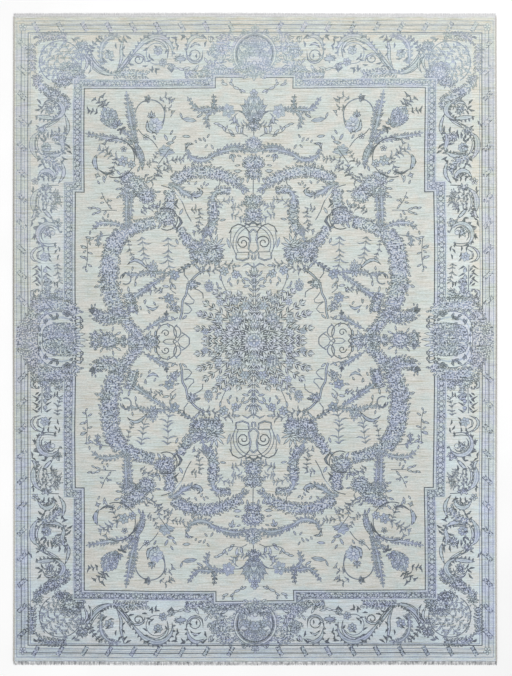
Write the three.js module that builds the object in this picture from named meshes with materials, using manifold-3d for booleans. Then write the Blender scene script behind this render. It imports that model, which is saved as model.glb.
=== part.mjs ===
// A hand-knotted wool rug that lies flat on the floor. It is one slab of knotted
// pile, with an overcast cord along each long side and, at each short end, a
// flat-woven strip whose warps are cut off as a short fringe.
// Millimetres, +Z up. The origin is on the floor under the middle of the rug.
// +X runs across the rug and +Y along it, towards its far end.

import * as THREE from 'three';
import { mergeVertices } from 'three/addons/utils/BufferGeometryUtils.js';
import Module from 'manifold-3d';

// Driving dimensions
const RUG_WIDTH = 2743;
const PILE_LENGTH = 3658;
const PILE_HEIGHT = 9;
const SEAM_GAP = 0.3;

const SELVEDGE_WIDTH = 7;
const SELVEDGE_HEIGHT = 7;
const SELVEDGE_SIDES = 8;

const STRIP_DEPTH = 7;
const STRIP_HEIGHT = 2.8;
const FRINGE_REACH = 17;
const FRINGE_REACH_SPREAD = 1.6;
const FRINGE_LEAN = 1.2;
const LOCKS_PER_END = 150;
const LOCK_ROOT_OVERLAP = 2.5;
// How far the uneven reach and lean turn from one lock to the next, in radians
const REACH_TURN = 2.4;
const LEAN_TURN = 1.7;

// Steps along the long and the short edges, enough for their slow wander
const STEPS_ALONG = 30;
const STEPS_ACROSS = 24;

// How the edge of the pile rounds over: how far in from the slab's side, and how high
const PILE_SHOULDER = [
  { inset: 0, height: 0 },
  { inset: 0, height: 5.8 },
  { inset: 1.1, height: 7.8 },
  { inset: 3.2, height: 8.8 },
  { inset: 6.5, height: PILE_HEIGHT },
];

// One lock of fringe, as parts of its reach and of its full width and height
const LOCK_SECTIONS = [
  { along: 0, width: 0.8, height: 1 },
  { along: 0.5, width: 1, height: 0.8 },
  { along: 1, width: 0.85, height: 0.45 },
];
const LOCK_WIDTH_SHARE = 0.82;
const LOCK_HEIGHT = 2.5;
const LOCK_TOP_NARROWING = 0.75;

// A hand-made rug isn't quite square: its width and its ends wander this much
const WIDTH_DRIFT = 1.2;
const WIDTH_DRIFT_LENGTH = 2900;
const WIDTH_DRIFT_START = 0.8;
const END_DRIFT = 1.1;
const END_DRIFT_LENGTH = 2300;
const END_DRIFT_START = 2.2;

// Worked out from the sizes above
const SLAB_WIDTH = RUG_WIDTH - 2 * (SELVEDGE_WIDTH + SEAM_GAP);
const STRIP_START = PILE_LENGTH / 2 + SEAM_GAP;
const LOCK_PITCH = RUG_WIDTH / LOCKS_PER_END;
const LOCK_WIDTH = LOCK_PITCH * LOCK_WIDTH_SHARE;

const wasm = await Module();
wasm.setup();

// A closed body through rings of points. Each ring runs anticlockwise as seen
// from the last ring, looking back at the first, and each end is a flat fan.
function loft(rings) {
  const count = rings[0].length;
  const positions = rings.flat().flatMap((point) => point.toArray());
  const middles = [rings[0], rings[rings.length - 1]].map((ring) =>
    ring.reduce((sum, point) => sum.add(point), new THREE.Vector3()).divideScalar(count));
  middles.forEach((middle) => positions.push(...middle.toArray()));
  const firstMiddle = rings.length * count;
  const lastMiddle = firstMiddle + 1;
  const lastRing = (rings.length - 1) * count;
  const indices = [];
  for (let i = 0; i < count; i += 1) {
    const next = (i + 1) % count;
    for (let row = 0; row < lastRing; row += count) {
      indices.push(row + i, row + next, row + count + next);
      indices.push(row + i, row + count + next, row + count + i);
    }
    indices.push(firstMiddle, next, i);
    indices.push(lastMiddle, lastRing + i, lastRing + next);
  }
  const geometry = new THREE.BufferGeometry();
  geometry.setAttribute('position', new THREE.Float32BufferAttribute(positions, 3));
  geometry.setIndex(indices);
  return geometry;
}

// Moves the points of a straight-built piece to where the hand-made rug has them
function layDown(geometry) {
  const position = geometry.getAttribute('position');
  for (let i = 0; i < position.count; i += 1) {
    const across = position.getX(i) / (RUG_WIDTH / 2);
    const along = position.getY(i) / (PILE_LENGTH / 2);
    const widthTurn = (2 * Math.PI * position.getY(i)) / WIDTH_DRIFT_LENGTH;
    const endTurn = (2 * Math.PI * position.getX(i)) / END_DRIFT_LENGTH;
    const sideways = across * WIDTH_DRIFT * Math.sin(widthTurn + WIDTH_DRIFT_START);
    const lengthways = along * END_DRIFT * Math.sin(endTurn + END_DRIFT_START);
    position.setXY(i, position.getX(i) + sideways, position.getY(i) + lengthways);
  }
  geometry.computeVertexNormals();
  return geometry;
}

function toSolid(geometry) {
  geometry.deleteAttribute('normal');
  geometry.deleteAttribute('uv');
  const merged = mergeVertices(geometry);
  return new wasm.Manifold(new wasm.Mesh({
    numProp: 3,
    vertProperties: new Float32Array(merged.getAttribute('position').array),
    triVerts: new Uint32Array(merged.getIndex().array),
  }));
}

function toGeometry(solid) {
  const mesh = solid.getMesh();
  const geometry = new THREE.BufferGeometry();
  geometry.setAttribute('position', new THREE.Float32BufferAttribute(mesh.vertProperties, 3));
  geometry.setIndex(Array.from(mesh.triVerts));
  return geometry;
}

// The slab of pile: its outline at each height of the rounded shoulder
function slab() {
  const rings = PILE_SHOULDER.map(({ inset, height }) => {
    const halfWidth = SLAB_WIDTH / 2 - inset;
    const halfLength = PILE_LENGTH / 2 - inset;
    const corners = [
      [-halfWidth, -halfLength, STEPS_ACROSS],
      [halfWidth, -halfLength, STEPS_ALONG],
      [halfWidth, halfLength, STEPS_ACROSS],
      [-halfWidth, halfLength, STEPS_ALONG],
    ];
    return corners.flatMap(([x, y, steps], k) => {
      const [nextX, nextY] = corners[(k + 1) % corners.length];
      return Array.from({ length: steps }, (_, i) => new THREE.Vector3(
        THREE.MathUtils.lerp(x, nextX, i / steps),
        THREE.MathUtils.lerp(y, nextY, i / steps),
        height,
      ));
    });
  });
  return layDown(loft(rings));
}

// The overcast cord of one long side: an eight-sided bar with a flat underside
function selvedge(side) {
  const middleX = side * (RUG_WIDTH - SELVEDGE_WIDTH) / 2;
  const toCorner = 1 / Math.cos(Math.PI / SELVEDGE_SIDES);
  const rings = Array.from({ length: STEPS_ALONG + 1 }, (_, step) => {
    const y = PILE_LENGTH * (step / STEPS_ALONG - 0.5);
    return Array.from({ length: SELVEDGE_SIDES }, (__, k) => {
      const turn = (2 * Math.PI * (k + 0.5)) / SELVEDGE_SIDES;
      return new THREE.Vector3(
        middleX - (SELVEDGE_WIDTH / 2) * toCorner * Math.cos(turn),
        y,
        (SELVEDGE_HEIGHT / 2) * (1 + toCorner * Math.sin(turn)),
      );
    });
  });
  return layDown(loft(rings));
}

// The flat-woven strip past the end of the pile, built at the far end
function strip() {
  const near = STRIP_START;
  const far = STRIP_START + STRIP_DEPTH;
  const rings = Array.from({ length: STEPS_ACROSS * 2 + 1 }, (_, step) => {
    const x = RUG_WIDTH * (step / (STEPS_ACROSS * 2) - 0.5);
    return [[far, 0], [far, STRIP_HEIGHT], [near, STRIP_HEIGHT], [near, 0]]
      .map(([y, z]) => new THREE.Vector3(x, y, z));
  });
  return loft(rings);
}

// One lock of fringe at the far end, lying level on the floor, its root in the strip
function lock(index) {
  const x = RUG_WIDTH * ((index + 0.5) / LOCKS_PER_END - 0.5);
  const reach = FRINGE_REACH + FRINGE_REACH_SPREAD * (Math.sin(index * REACH_TURN) - 1);
  const lean = FRINGE_LEAN * Math.sin(index * LEAN_TURN);
  const rootY = STRIP_START + STRIP_DEPTH - LOCK_ROOT_OVERLAP;
  const rings = LOCK_SECTIONS.map(({ along, width, height }) => {
    const y = rootY + along * (reach + LOCK_ROOT_OVERLAP);
    const half = (LOCK_WIDTH / 2) * width;
    const top = LOCK_HEIGHT * height;
    const middle = x + lean * along;
    return [[-half, 0], [-half * LOCK_TOP_NARROWING, top], [half * LOCK_TOP_NARROWING, top], [half, 0]]
      .map(([offset, z]) => new THREE.Vector3(middle + offset, y, z));
  });
  return loft(rings);
}

// A strip with its locks joined to it. The near end is the far end turned round.
function fringe(turn) {
  let solid = toSolid(strip());
  for (let index = 0; index < LOCKS_PER_END; index += 1) {
    solid = solid.add(toSolid(lock(index)));
  }
  return layDown(toGeometry(solid).rotateZ(turn));
}

function piece(name, geometry, color) {
  const material = new THREE.MeshStandardMaterial({ color, roughness: 0.95, metalness: 0 });
  const mesh = new THREE.Mesh(geometry, material);
  mesh.name = name;
  return mesh;
}

const PILE_COLOR = 0xc9cdc6;
const SELVEDGE_COLOR = 0xb3aa9f;
const FRINGE_COLOR = 0xd0cfd0;

const rug = new THREE.Group();
rug.add(piece('rug_body', slab(), PILE_COLOR));
rug.add(piece('selvedge_left', selvedge(-1), SELVEDGE_COLOR));
rug.add(piece('selvedge_right', selvedge(1), SELVEDGE_COLOR));
rug.add(piece('fringe_far', fringe(0), FRINGE_COLOR));
rug.add(piece('fringe_near', fringe(Math.PI), FRINGE_COLOR));

// The wander of the edges shifts the box a little, so the rug is set back over its middle
const middle = new THREE.Box3().setFromObject(rug).getCenter(new THREE.Vector3());
rug.position.set(-middle.x, -middle.y, 0);

export default rug;
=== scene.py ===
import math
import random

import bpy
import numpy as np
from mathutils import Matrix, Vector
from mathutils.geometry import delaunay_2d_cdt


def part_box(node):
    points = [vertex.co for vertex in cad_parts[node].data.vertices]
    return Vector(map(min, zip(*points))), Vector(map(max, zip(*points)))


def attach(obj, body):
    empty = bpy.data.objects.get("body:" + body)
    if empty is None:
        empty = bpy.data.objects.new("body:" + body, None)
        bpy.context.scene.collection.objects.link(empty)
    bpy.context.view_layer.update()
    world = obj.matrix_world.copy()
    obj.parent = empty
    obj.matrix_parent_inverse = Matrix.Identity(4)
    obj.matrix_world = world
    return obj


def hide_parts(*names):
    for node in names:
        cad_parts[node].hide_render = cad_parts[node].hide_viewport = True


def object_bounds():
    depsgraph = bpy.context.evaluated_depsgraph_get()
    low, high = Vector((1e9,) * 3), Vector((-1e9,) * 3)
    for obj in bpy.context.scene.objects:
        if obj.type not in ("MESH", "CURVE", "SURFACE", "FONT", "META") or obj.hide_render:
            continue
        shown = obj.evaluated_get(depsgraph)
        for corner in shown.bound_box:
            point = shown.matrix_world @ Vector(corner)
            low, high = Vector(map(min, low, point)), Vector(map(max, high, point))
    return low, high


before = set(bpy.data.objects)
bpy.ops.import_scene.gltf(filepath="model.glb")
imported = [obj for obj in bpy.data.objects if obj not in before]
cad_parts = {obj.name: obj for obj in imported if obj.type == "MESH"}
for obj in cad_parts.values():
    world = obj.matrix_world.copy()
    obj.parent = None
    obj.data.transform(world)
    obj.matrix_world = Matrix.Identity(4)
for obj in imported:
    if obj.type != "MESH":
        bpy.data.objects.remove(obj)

# A hand-knotted wool rug, lying flat: an ivory field with a floral medallion and
# leafy garlands in light blue, two guard bands and a scrolling border between
# them, an overcast cord at each side and a short cut fringe at each end.
#
# The pattern is drawn here as outlines on one quarter of the weaver's
# chart, mirrored to the other three, and cut into one flat mosaic of faces, each
# of which knows the motif it belongs to.

CAD_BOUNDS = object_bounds()
MM = 0.001

# Sizes of the rug in metres, as its frame has them. A cord of 7.3 mm lies along
# each side of the knotted slab.
PILE_HEIGHT = Vector(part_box("rug_body")[1]).z
RUG_WIDTH = 2743 * MM
PILE_LENGTH = 3658 * MM
SLAB_WIDTH = RUG_WIDTH - 2 * 7.3 * MM
FOUNDATION_HEIGHT = 3 * MM

# The weaver's chart: squares counted from the middle of the rug, across and along
SQUARES_TO_SIDE = 242
SQUARE = RUG_WIDTH / 2 / SQUARES_TO_SIDE
SLAB_ACROSS = SLAB_WIDTH / 2 / SQUARE
SLAB_ALONG = PILE_LENGTH / 2 / SQUARE

# Tones run from the darkest slate outline to the ivory ground of the field
LINE = 0.04
SLATE = 0.20
BLUE = 0.48
SKY = 0.63
MIST = 0.73
PALE = 0.82
CREAM = 0.89
BORDER_GROUND = 0.94
FIELD_GROUND = 1.0
# A tone plus this is a mass of tiny leaves about that tone
LEAFY = 2.0
# How wide the outline of a motif is, in squares, and that of its finest leaves
OUTLINE_WIDTH = 0.74
FINE_OUTLINE = 0.56
FINEST_OUTLINE = 0.5


class Chart:
    """The shapes of one quarter of the pattern, later ones lying over earlier ones."""

    def __init__(self):
        self.outlines = []
        self.frames = []
        self.styles = []

    def put(self, outline, centre, along, across, roundness, fill, edge, rim=1.0):
        self.outlines.append(outline)
        self.frames.append((*centre, *along, *across, roundness))
        self.styles.append((fill, edge, rim))


chart = Chart()

# A leaf's outline about its middle, in half lengths and half widths
LENS_OUTLINE = [(-1, 0), (-0.5, 0.75), (0.35, 0.88), (1, 0), (0.35, -0.88), (-0.5, -0.75)]


def toward(point, angle, distance):
    return point[0] + distance * math.cos(angle), point[1] + distance * math.sin(angle)


def lens(centre, angle, length, width, fill, edge=LINE, line=OUTLINE_WIDTH):
    """A pointed leaf or petal about its own middle."""
    c, s = math.cos(angle), math.sin(angle)
    half, side = length / 2, width / 2
    outline = [
        (centre[0] + c * half * u - s * side * v, centre[1] + s * half * u + c * side * v)
        for u, v in LENS_OUTLINE
    ]
    chart.put(outline, centre, (c / half, s / half), (-s / side, c / side), 0, fill, edge,
              max(0.15, 1 - line / side))


def leaf(base, angle, length, width, fill=MIST, edge=LINE, line=OUTLINE_WIDTH):
    """A pointed leaf that grows from its base."""
    lens(toward(base, angle, length / 2), angle, length, width, fill, edge, line)


def disc(centre, radius, fill, edge=LINE, sides=8, line=OUTLINE_WIDTH):
    outline = [toward(centre, 2 * math.pi * (k + 0.5) / sides, radius) for k in range(sides)]
    chart.put(outline, centre, (1 / radius, 0), (0, 1 / radius), 1, fill, edge,
              max(0.0, 1 - line / radius) ** 2 * 0.9)


def quad(left, next_left, next_right, right, fill, edge, line=OUTLINE_WIDTH):
    """A piece of a stroke, whose two long edges are drawn in the edge tone."""
    corners = (left, next_left, next_right, right)
    centre = (sum(p[0] for p in corners) / 4, sum(p[1] for p in corners) / 4)
    side = (
        (left[0] + next_left[0] - next_right[0] - right[0]) / 4,
        (left[1] + next_left[1] - next_right[1] - right[1]) / 4,
    )
    size = max(side[0] ** 2 + side[1] ** 2, 1e-6)
    chart.put(corners, centre, (0, 0), (side[0] / size, side[1] / size), 0, fill, edge,
              max(0.0, 1 - line / math.sqrt(size)))


def patch(outline, fill):
    """A plain area of one tone."""
    chart.put(outline, (0, 0), (0, 0), (0, 0), 0, fill, fill)


def smooth(points, step):
    """Points about one step apart on the smooth curve through the given ones."""
    ends = [points[0]] + list(points) + [points[-1]]
    result = []
    for p0, p1, p2, p3 in zip(ends, ends[1:], ends[2:], ends[3:]):
        count = max(1, round(math.dist(p1, p2) / step))
        for k in range(count):
            t = k / count
            result.append(tuple(
                0.5 * (2 * b + (c - a) * t + (2 * a - 5 * b + 4 * c - d) * t * t
                       + (3 * b - a - 3 * c + d) * t * t * t)
                for a, b, c, d in zip(p0, p1, p2, p3)
            ))
    result.append(tuple(points[-1]))
    return result


def headings(path):
    """The direction of a curve at each of its points."""
    before = [path[0]] + path[:-1]
    after = path[1:] + [path[-1]]
    return [math.atan2(b[1] - a[1], b[0] - a[0]) for a, b in zip(before, after)]


def swell(t):
    """0 at both ends of a stroke and 1 in its middle."""
    return math.sin(math.pi * min(max(t, 0.0), 1.0))


def stroke(points, half_width, fill, edge, step):
    """A stroke along a smooth curve; half_width is given for each share of the way along it."""
    path = smooth(points, step)
    last = len(path) - 1
    sides = []
    for k, (point, angle) in enumerate(zip(path, headings(path))):
        half = half_width(k / last)
        sides.append(abreast(point, angle, half))
    join(sides, fill, edge, OUTLINE_WIDTH)


def abreast(point, angle, half):
    """The two points that lie to the left and right of a way, half its width off."""
    return toward(point, angle + math.pi / 2, half), toward(point, angle - math.pi / 2, half)


def join(sides, fill, edge, line):
    """Fills a stroke between its left and right points."""
    for (left, right), (next_left, next_right) in zip(sides, sides[1:]):
        quad(left, next_left, next_right, right, fill, edge, line)


def stem(points, width=1.0, fill=SLATE, edge=SLATE * 0.7, step=4.5, taper=0.0):
    """A stroke of one width, or thinner towards its end by the taper."""
    stroke(points, lambda share: width / 2 * (1 - taper * share), fill, edge, step)


def crescent(points, width, fill=MIST, edge=LINE, step=4.0):
    """A stroke that is thick in the middle and pointed at both ends."""
    stroke(points, lambda share: width / 2 * max(swell(share), 0.12), fill, edge, step)


def arc(centre, radius, start, sweep, end_radius=None, steps=10):
    """Points of an arc or spiral, its angles in degrees."""
    growth = 0 if end_radius is None else end_radius - radius
    return [
        toward(centre, math.radians(start + sweep * k / steps), radius + growth * k / steps)
        for k in range(steps + 1)
    ]


def ring(centre, radius, width=1.2, fill=SLATE, edge=LINE, start=0, sweep=360):
    steps = max(6, round(radius * abs(sweep) / 180))
    stem(arc(centre, radius, start, sweep, steps=steps), width, fill, edge, 3.0)


def curl(centre, radius, start, sweep, width=1.2, fill=SLATE, edge=LINE):
    """A spiral that winds in towards its centre."""
    stem(arc(centre, radius, start, sweep, radius * 0.2, 12), width, fill, edge, 3.0)


def hook(base, angle, length, width, bend, fill=PALE, edge=LINE, line=OUTLINE_WIDTH, cuts=2):
    """A leaf that turns aside on its way by the bend, in radians."""
    place = base
    sides = []
    for k in range(cuts + 1):
        share = k / cuts
        half = width / 2 * max(math.sin(math.pi * (0.12 + 0.88 * share)), 0.1)
        sides.append(abreast(place, angle + bend * share, half))
        place = toward(place, angle + bend * (share + 0.5 / cuts), length / cuts)
    join(sides, fill, edge, line)


def plume(points, width, fill=MIST, edge=SLATE * 0.8):
    """An acanthus plume: a slender body with pointed teeth that lean forward along both its sides."""
    path = smooth(points, 3.5)
    angles = headings(path)
    last = len(path) - 1
    for k in range(last):
        half = width * (0.05 + 0.21 * swell(0.08 + 0.88 * k / last))
        for side in (-1, 1):
            base = toward(path[k], angles[k] + side * math.pi / 2, half * 0.5)
            aim = angles[k] + side * math.radians(24 + 10 * math.sin(2.3 * k + side))
            reach = half * 1.3 + 2.6 + 0.6 * math.sin(1.7 * k)
            hook(base, aim, reach, 2.5, side * 0.6, (fill, PALE)[k % 2], edge, FINE_OUTLINE)
    stroke(points, lambda share: width * (0.04 + 0.18 * swell(0.06 + 0.9 * share)), fill, SLATE * 1.4, 4.2)
    leaf(path[last - 1], angles[last], width * 0.6 + 2, width * 0.3, fill, edge, FINE_OUTLINE)


def sprig(points, size, fill=PALE, edge=LINE, pitch=3.9, width=1.7):
    """A thin stem with slender leaves to either side, which rise from it and droop at their tips."""
    stem(points, 0.6, SLATE, SLATE, 5.0)
    path = smooth(points, max(pitch, size * 1.05))
    angles = headings(path)
    for k, (place, angle) in enumerate(zip(path, angles)):
        for side, share in ((1, 1.0 - 0.35 * (k % 2)), (-1, 0.65 + 0.35 * (k % 2))):
            reach = size * share * (1.75 + 0.25 * math.sin(2.3 * k + size))
            hook(place, angle + side * math.radians(22 + 10 * math.sin(1.9 * k)), reach, width,
                 side * (0.8 + 0.6 * share), fill, edge, FINEST_OUTLINE, 3)
    leaf(path[-1], angles[-1], size, 1.9, fill, edge, FINEST_OUTLINE)


def branch(points, reach, fill=CREAM, edge=LINE, pitch=5.0, width=2.6, line=OUTLINE_WIDTH, bend=0.6):
    """A straight spray: a thin stem with pairs of pointed leaves that shorten towards its tip."""
    stem(points, 0.8, edge, edge, 5.0)
    path = smooth(points, pitch)
    angles = headings(path)
    last = len(path) - 1
    for k in range(last + 1):
        size = reach * (1 - 0.35 * k / last)
        for side in (-1, 1):
            hook(path[k], angles[k] + side * math.radians(38), size, width, side * bend, fill, edge, line)
    leaf(path[-1], angles[-1], reach * 0.8, width, fill, edge, line)


def fan(base, aim, spread, count, length, width, fill=PALE, edge=LINE):
    """Leaves that spread from one point, their angles in degrees."""
    for k in range(count):
        share = k / (count - 1) - 0.5 if count > 1 else 0
        reach = length * (1 - 0.35 * abs(share) * 2)
        leaf(base, math.radians(aim + spread * share), reach, width, fill, edge)


def scroll(points, width, frill=1):
    """A scroll: a swelling band with a row of curled lobes along one of its sides."""
    edge = SLATE * 0.6
    path = smooth(points, 4.0)
    angles = headings(path)
    last = len(path) - 1
    for k in range(last):
        half = width / 2 * max(swell(k / last), 0.35)
        base = toward(path[k], angles[k] + frill * math.pi / 2, half * 0.3)
        hook(base, angles[k] + frill * math.radians(42), half + 2.2, 2.5, frill * 0.9, MIST, edge)
    crescent(points, width * 0.9, MIST, edge, 3.4)


def buds(rows, fill=MIST, edge=LINE):
    """Small curled leaves: base across and along, angle in degrees, length, bend in degrees."""
    for across, along, angle, length, bend in rows:
        width = max(2.0, length * 0.34)
        hook((across, along), math.radians(angle), length, width, math.radians(bend), fill, edge)


def rosette(centre, radius, petals=6, fill=MIST, edge=LINE, heart=CREAM, turn=0.3):
    """A round flower: a ring of petals about a small heart."""
    for k in range(petals):
        angle = turn + 2 * math.pi * k / petals
        leaf(toward(centre, angle, radius * 0.1), angle, radius * 0.98, radius * 0.8, fill, edge)
    disc(centre, radius * 0.32, heart, edge, 6)


def garland(points, width, seed, fill=PALE, edge=LINE, pitch=2.7, ground=0.58):
    """A thick band of foliage: a mass of tiny leaves with a toothed rim of larger ones."""
    draw = random.Random(seed)
    stem(points, width * 0.82, LEAFY + ground, LEAFY + ground, 5.0, taper=0.1)
    path = smooth(points, pitch)
    angles = headings(path)
    last = len(path) - 1
    for k in range(last + 1):
        half = width / 2 * (0.78 + 0.22 * swell(0.1 + 0.8 * k / last))
        for side in (-1, 1):
            base = toward(path[k], angles[k] + side * math.pi / 2, half * draw.uniform(0.62, 0.84))
            aim = angles[k] + side * math.radians(draw.uniform(25, 70))
            leaf(base, aim, draw.uniform(3.2, 4.6), draw.uniform(1.9, 2.5),
                 draw.choice((fill, PALE, MIST, SKY)), edge)


def clump(centre, half_across, half_along, seed, fill=PALE, edge=LINE, ground=0.58):
    """A dense bunch of tiny leaves with a toothed rim of larger ones that point outwards."""
    draw = random.Random(seed)
    spacing = 2.9
    corners = 14
    turns = [2 * math.pi * k / corners for k in range(corners)]
    patch([(centre[0] + half_across * 0.86 * math.cos(t), centre[1] + half_along * 0.86 * math.sin(t))
           for t in turns], LEAFY + ground)
    count = max(6, round(math.pi * (half_across + half_along) * 0.86 / spacing))
    for k in range(count):
        t = 2 * math.pi * (k + draw.uniform(-0.25, 0.25)) / count
        place = (centre[0] + half_across * 0.84 * math.cos(t), centre[1] + half_along * 0.84 * math.sin(t))
        outwards = math.atan2(place[1] - centre[1], place[0] - centre[0])
        aim = outwards + math.radians(draw.uniform(-45, 45))
        lens(place, aim, draw.uniform(3.8, 5.4), draw.uniform(2.0, 2.7),
             draw.choice((fill, PALE, MIST, SKY)), edge)


def palmette(centre, aim, length, width, rows=4, fill=MIST, edge=LINE, per_row=5):
    """A fan-shaped flower head of overlapping rows of pointed leaves, aimed in degrees."""
    turn = math.radians(aim)
    base = toward(centre, turn, -length / 2)
    for row in range(rows):
        share = 1 - row / rows
        count = per_row + row % 2
        size = max(4.2, length * 0.36)
        for k in range(count):
            side = (k / (count - 1) - 0.5) * 2
            reach = length * (0.2 + 0.8 * share) * (1 - 0.28 * abs(side)) - size
            angle = turn + side * math.radians(24 + 20 * (1 - share)) * width / length * 1.3
            leaf(toward(base, angle, reach), angle + side * 0.25, size, max(2.6, width * 0.26),
                 (fill, PALE, SKY)[(row + k) % 3], edge)


def scatter(rows, fill=SKY, edge=LINE):
    """Single leaves: base across and along, angle in degrees, length."""
    for across, along, angle, length in rows:
        leaf((across, along), math.radians(angle), length, max(2.3, length * 0.4), fill, edge)


# Stepped lines from the long axis to the axis across: round the field, round the
# middle of the field, and round the beaded guard that follows the field
FIELD_EDGE = [(0, 261.5), (38.5, 261.5), (38.5, 251), (170, 251), (170, 147.5), (179, 147.5), (179, 0)]
MIDDLE_EDGE = [(0, 140), (122, 140), (122, 0)]
GUARD_EDGE = [(0, 272), (49.5, 272), (49.5, 261), (182.4, 261), (182.4, 158.6), (192, 158.6), (192, 0)]


def guard_line(share):
    """The stepped line that lies that share of the way from the field to the border."""
    return [
        (a + (outer_a - a) * share, b + (outer_b - b) * share)
        for (a, b), (outer_a, outer_b) in zip(FIELD_EDGE, GUARD_EDGE)
    ]


def stepped_band(start, end, tone):
    """The band between two shares of the way across the guard."""
    inner, outer = guard_line(start), guard_line(end)
    for a, b, c, d in zip(inner, inner[1:], outer[1:], outer):
        quad(a, b, c, d, tone, tone)


def frame_band(across, along, width, tone):
    """A straight band parallel to the rug's edges, its outer line at those half widths."""
    inner_a, inner_b = across - width, along - width
    quad((0, along), (across, along), (inner_a, inner_b), (0, inner_b), tone, tone)
    quad((across, along), (across, 0), (inner_a, 0), (inner_a, inner_b), tone, tone)


def plain_corner(across, along, tone):
    """A plain area from the middle of the rug out to the given lines."""
    patch([(0, 0), (across, 0), (across, along), (0, along)], tone)


def grounds():
    """The plain areas that everything else lies on, from the border inwards."""
    plain_corner(SLAB_ACROSS + 1, SLAB_ALONG + 1, 0.98)
    plain_corner(238.2, 318.2, 0.97)
    patch([(227, 0), (239.4, 0), (239.4, 306), (227, 306)], 0.80)
    plain_corner(227.3, 306.6, BORDER_GROUND)
    stepped_band(0, 1, MIST)
    for across, along in (FIELD_EDGE[1], FIELD_EDGE[3], FIELD_EDGE[5]):
        plain_corner(across, along, FIELD_GROUND)


def guard_band():
    """The beaded guard round the field."""
    for start, end, tone in (
        (0.0, 0.09, 0.02), (0.09, 0.24, 0.80), (0.24, 0.30, 0.30), (0.30, 0.84, LEAFY + 0.62),
        (0.84, 0.90, 0.34), (0.90, 1.0, 0.82),
    ):
        stepped_band(start, end, tone)
    bead_pitch = 5.2
    middle = guard_line(0.57)
    for start, end in zip(middle, middle[1:]):
        count = max(1, round(math.dist(start, end) / bead_pitch))
        upright = abs(end[0] - start[0]) < 1
        for k in range(count):
            t = (k + 0.5) / count
            place = (start[0] + (end[0] - start[0]) * t, start[1] + (end[1] - start[1]) * t)
            disc(place, 2.5 if upright else 2.1, PALE, SLATE, 8, 0.8)
            disc(place, 0.8, SKY, SKY, 5)


def straight_frames():
    """The reeded lines of the outer frame: outer line across and along, width, tone."""
    for across, along, width, tone in (
        (238.9, 318.9, 0.9, 0.50), (236.5, 316.3, 0.6, 0.70), (234.6, 314.8, 1.1, 0.20),
        (232.6, 312.6, 0.5, 0.60), (230.9, 310.6, 0.8, 0.44), (227.8, 307.1, 1.1, 0.12),
        (225.3, 305.2, 0.7, 0.44),
    ):
        frame_band(across, along, width, tone)


def ties():
    """The ribbons that bind the reeds of the outer frame."""
    for k in range(1, 10):
        tie((24.4 * k, 312.4), (2.6, 4.6), 0.62 + 0.06 * (k % 2))
    for k in range(11):
        tie((233.2, 38.5 + 25.65 * k), (4.2, 4.0), 0.62 + 0.06 * (k % 2))
    rosette((0, 311), 4.0, 4, MIST, SLATE, PALE, 0)
    rosette((232.5, 312.2), 4.2, 5, PALE, SLATE, MIST)


def tie(centre, reach, tone):
    """One slanting ribbon over the reeds, its outer end further from the middle."""
    low = (centre[0] - reach[0], centre[1] - reach[1])
    high = (centre[0] + reach[0], centre[1] + reach[1])
    stem([low, centre, high], 4.4, LEAFY + tone, LEAFY + tone - 0.34, 3.5)
    turn = math.atan2(reach[1], reach[0])
    for share in (-0.5, 0.1, 0.7):
        place = (centre[0] + reach[0] * share, centre[1] + reach[1] * share)
        lens(place, turn + 0.9, 2.8, 1.6, PALE, BLUE, 0.4)


def corner_roundel():
    """The wreath in the corner of the border, with sprays of leaves inside it."""
    centre = (195, 277.5)
    garland([(189, 303), (199, 304), (209, 303), (218, 300)], 5, 20)
    garland([(223, 296), (224, 287), (223.5, 277), (223, 268)], 5, 19)
    clump((218, 261), 5, 4, 25)
    clump((173, 293), 4.5, 4, 18)
    buds([(222, 300, 120, 6, 60), (184, 301, 200, 6, 50), (226, 292, 300, 5, 50)])
    crescent([(173, 286), (168, 277), (172, 267)], 3.4, PALE)
    crescent([(167, 282), (163, 274), (167, 266)], 3.0, PALE)
    branch([(180, 302), (175, 291), (173, 282)], 5, PALE, SLATE)
    for points in (
        [(189, 268), (198, 270), (207, 272), (213, 277)],
        [(188, 270), (197, 277), (205, 283), (211, 288)],
        [(187, 270), (191, 280), (196, 288), (202, 294)],
        [(183, 270), (183, 279), (186, 287), (190, 294)],
        [(196, 264), (205, 264), (211, 268)],
        [(180, 272), (177, 279), (178, 287)],
    ):
        sprig(points, 4.4, MIST, SLATE, 5.0, width=2.2)
    clump((183, 266), 13, 10, 22, MIST, LINE, 0.52)
    clump((193, 257), 9, 5, 17, MIST, LINE, 0.52)
    clump((176, 262), 7, 5, 26, MIST, LINE, 0.52)
    ring(centre, 21.0, 1.0, SLATE, SLATE, 210, -270)
    garland([(220, 258), (214, 253), (206, 247), (198, 243), (191, 240)], 7, 24)
    rosette((186, 266), 4.6, 7, PALE, SLATE)


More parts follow.
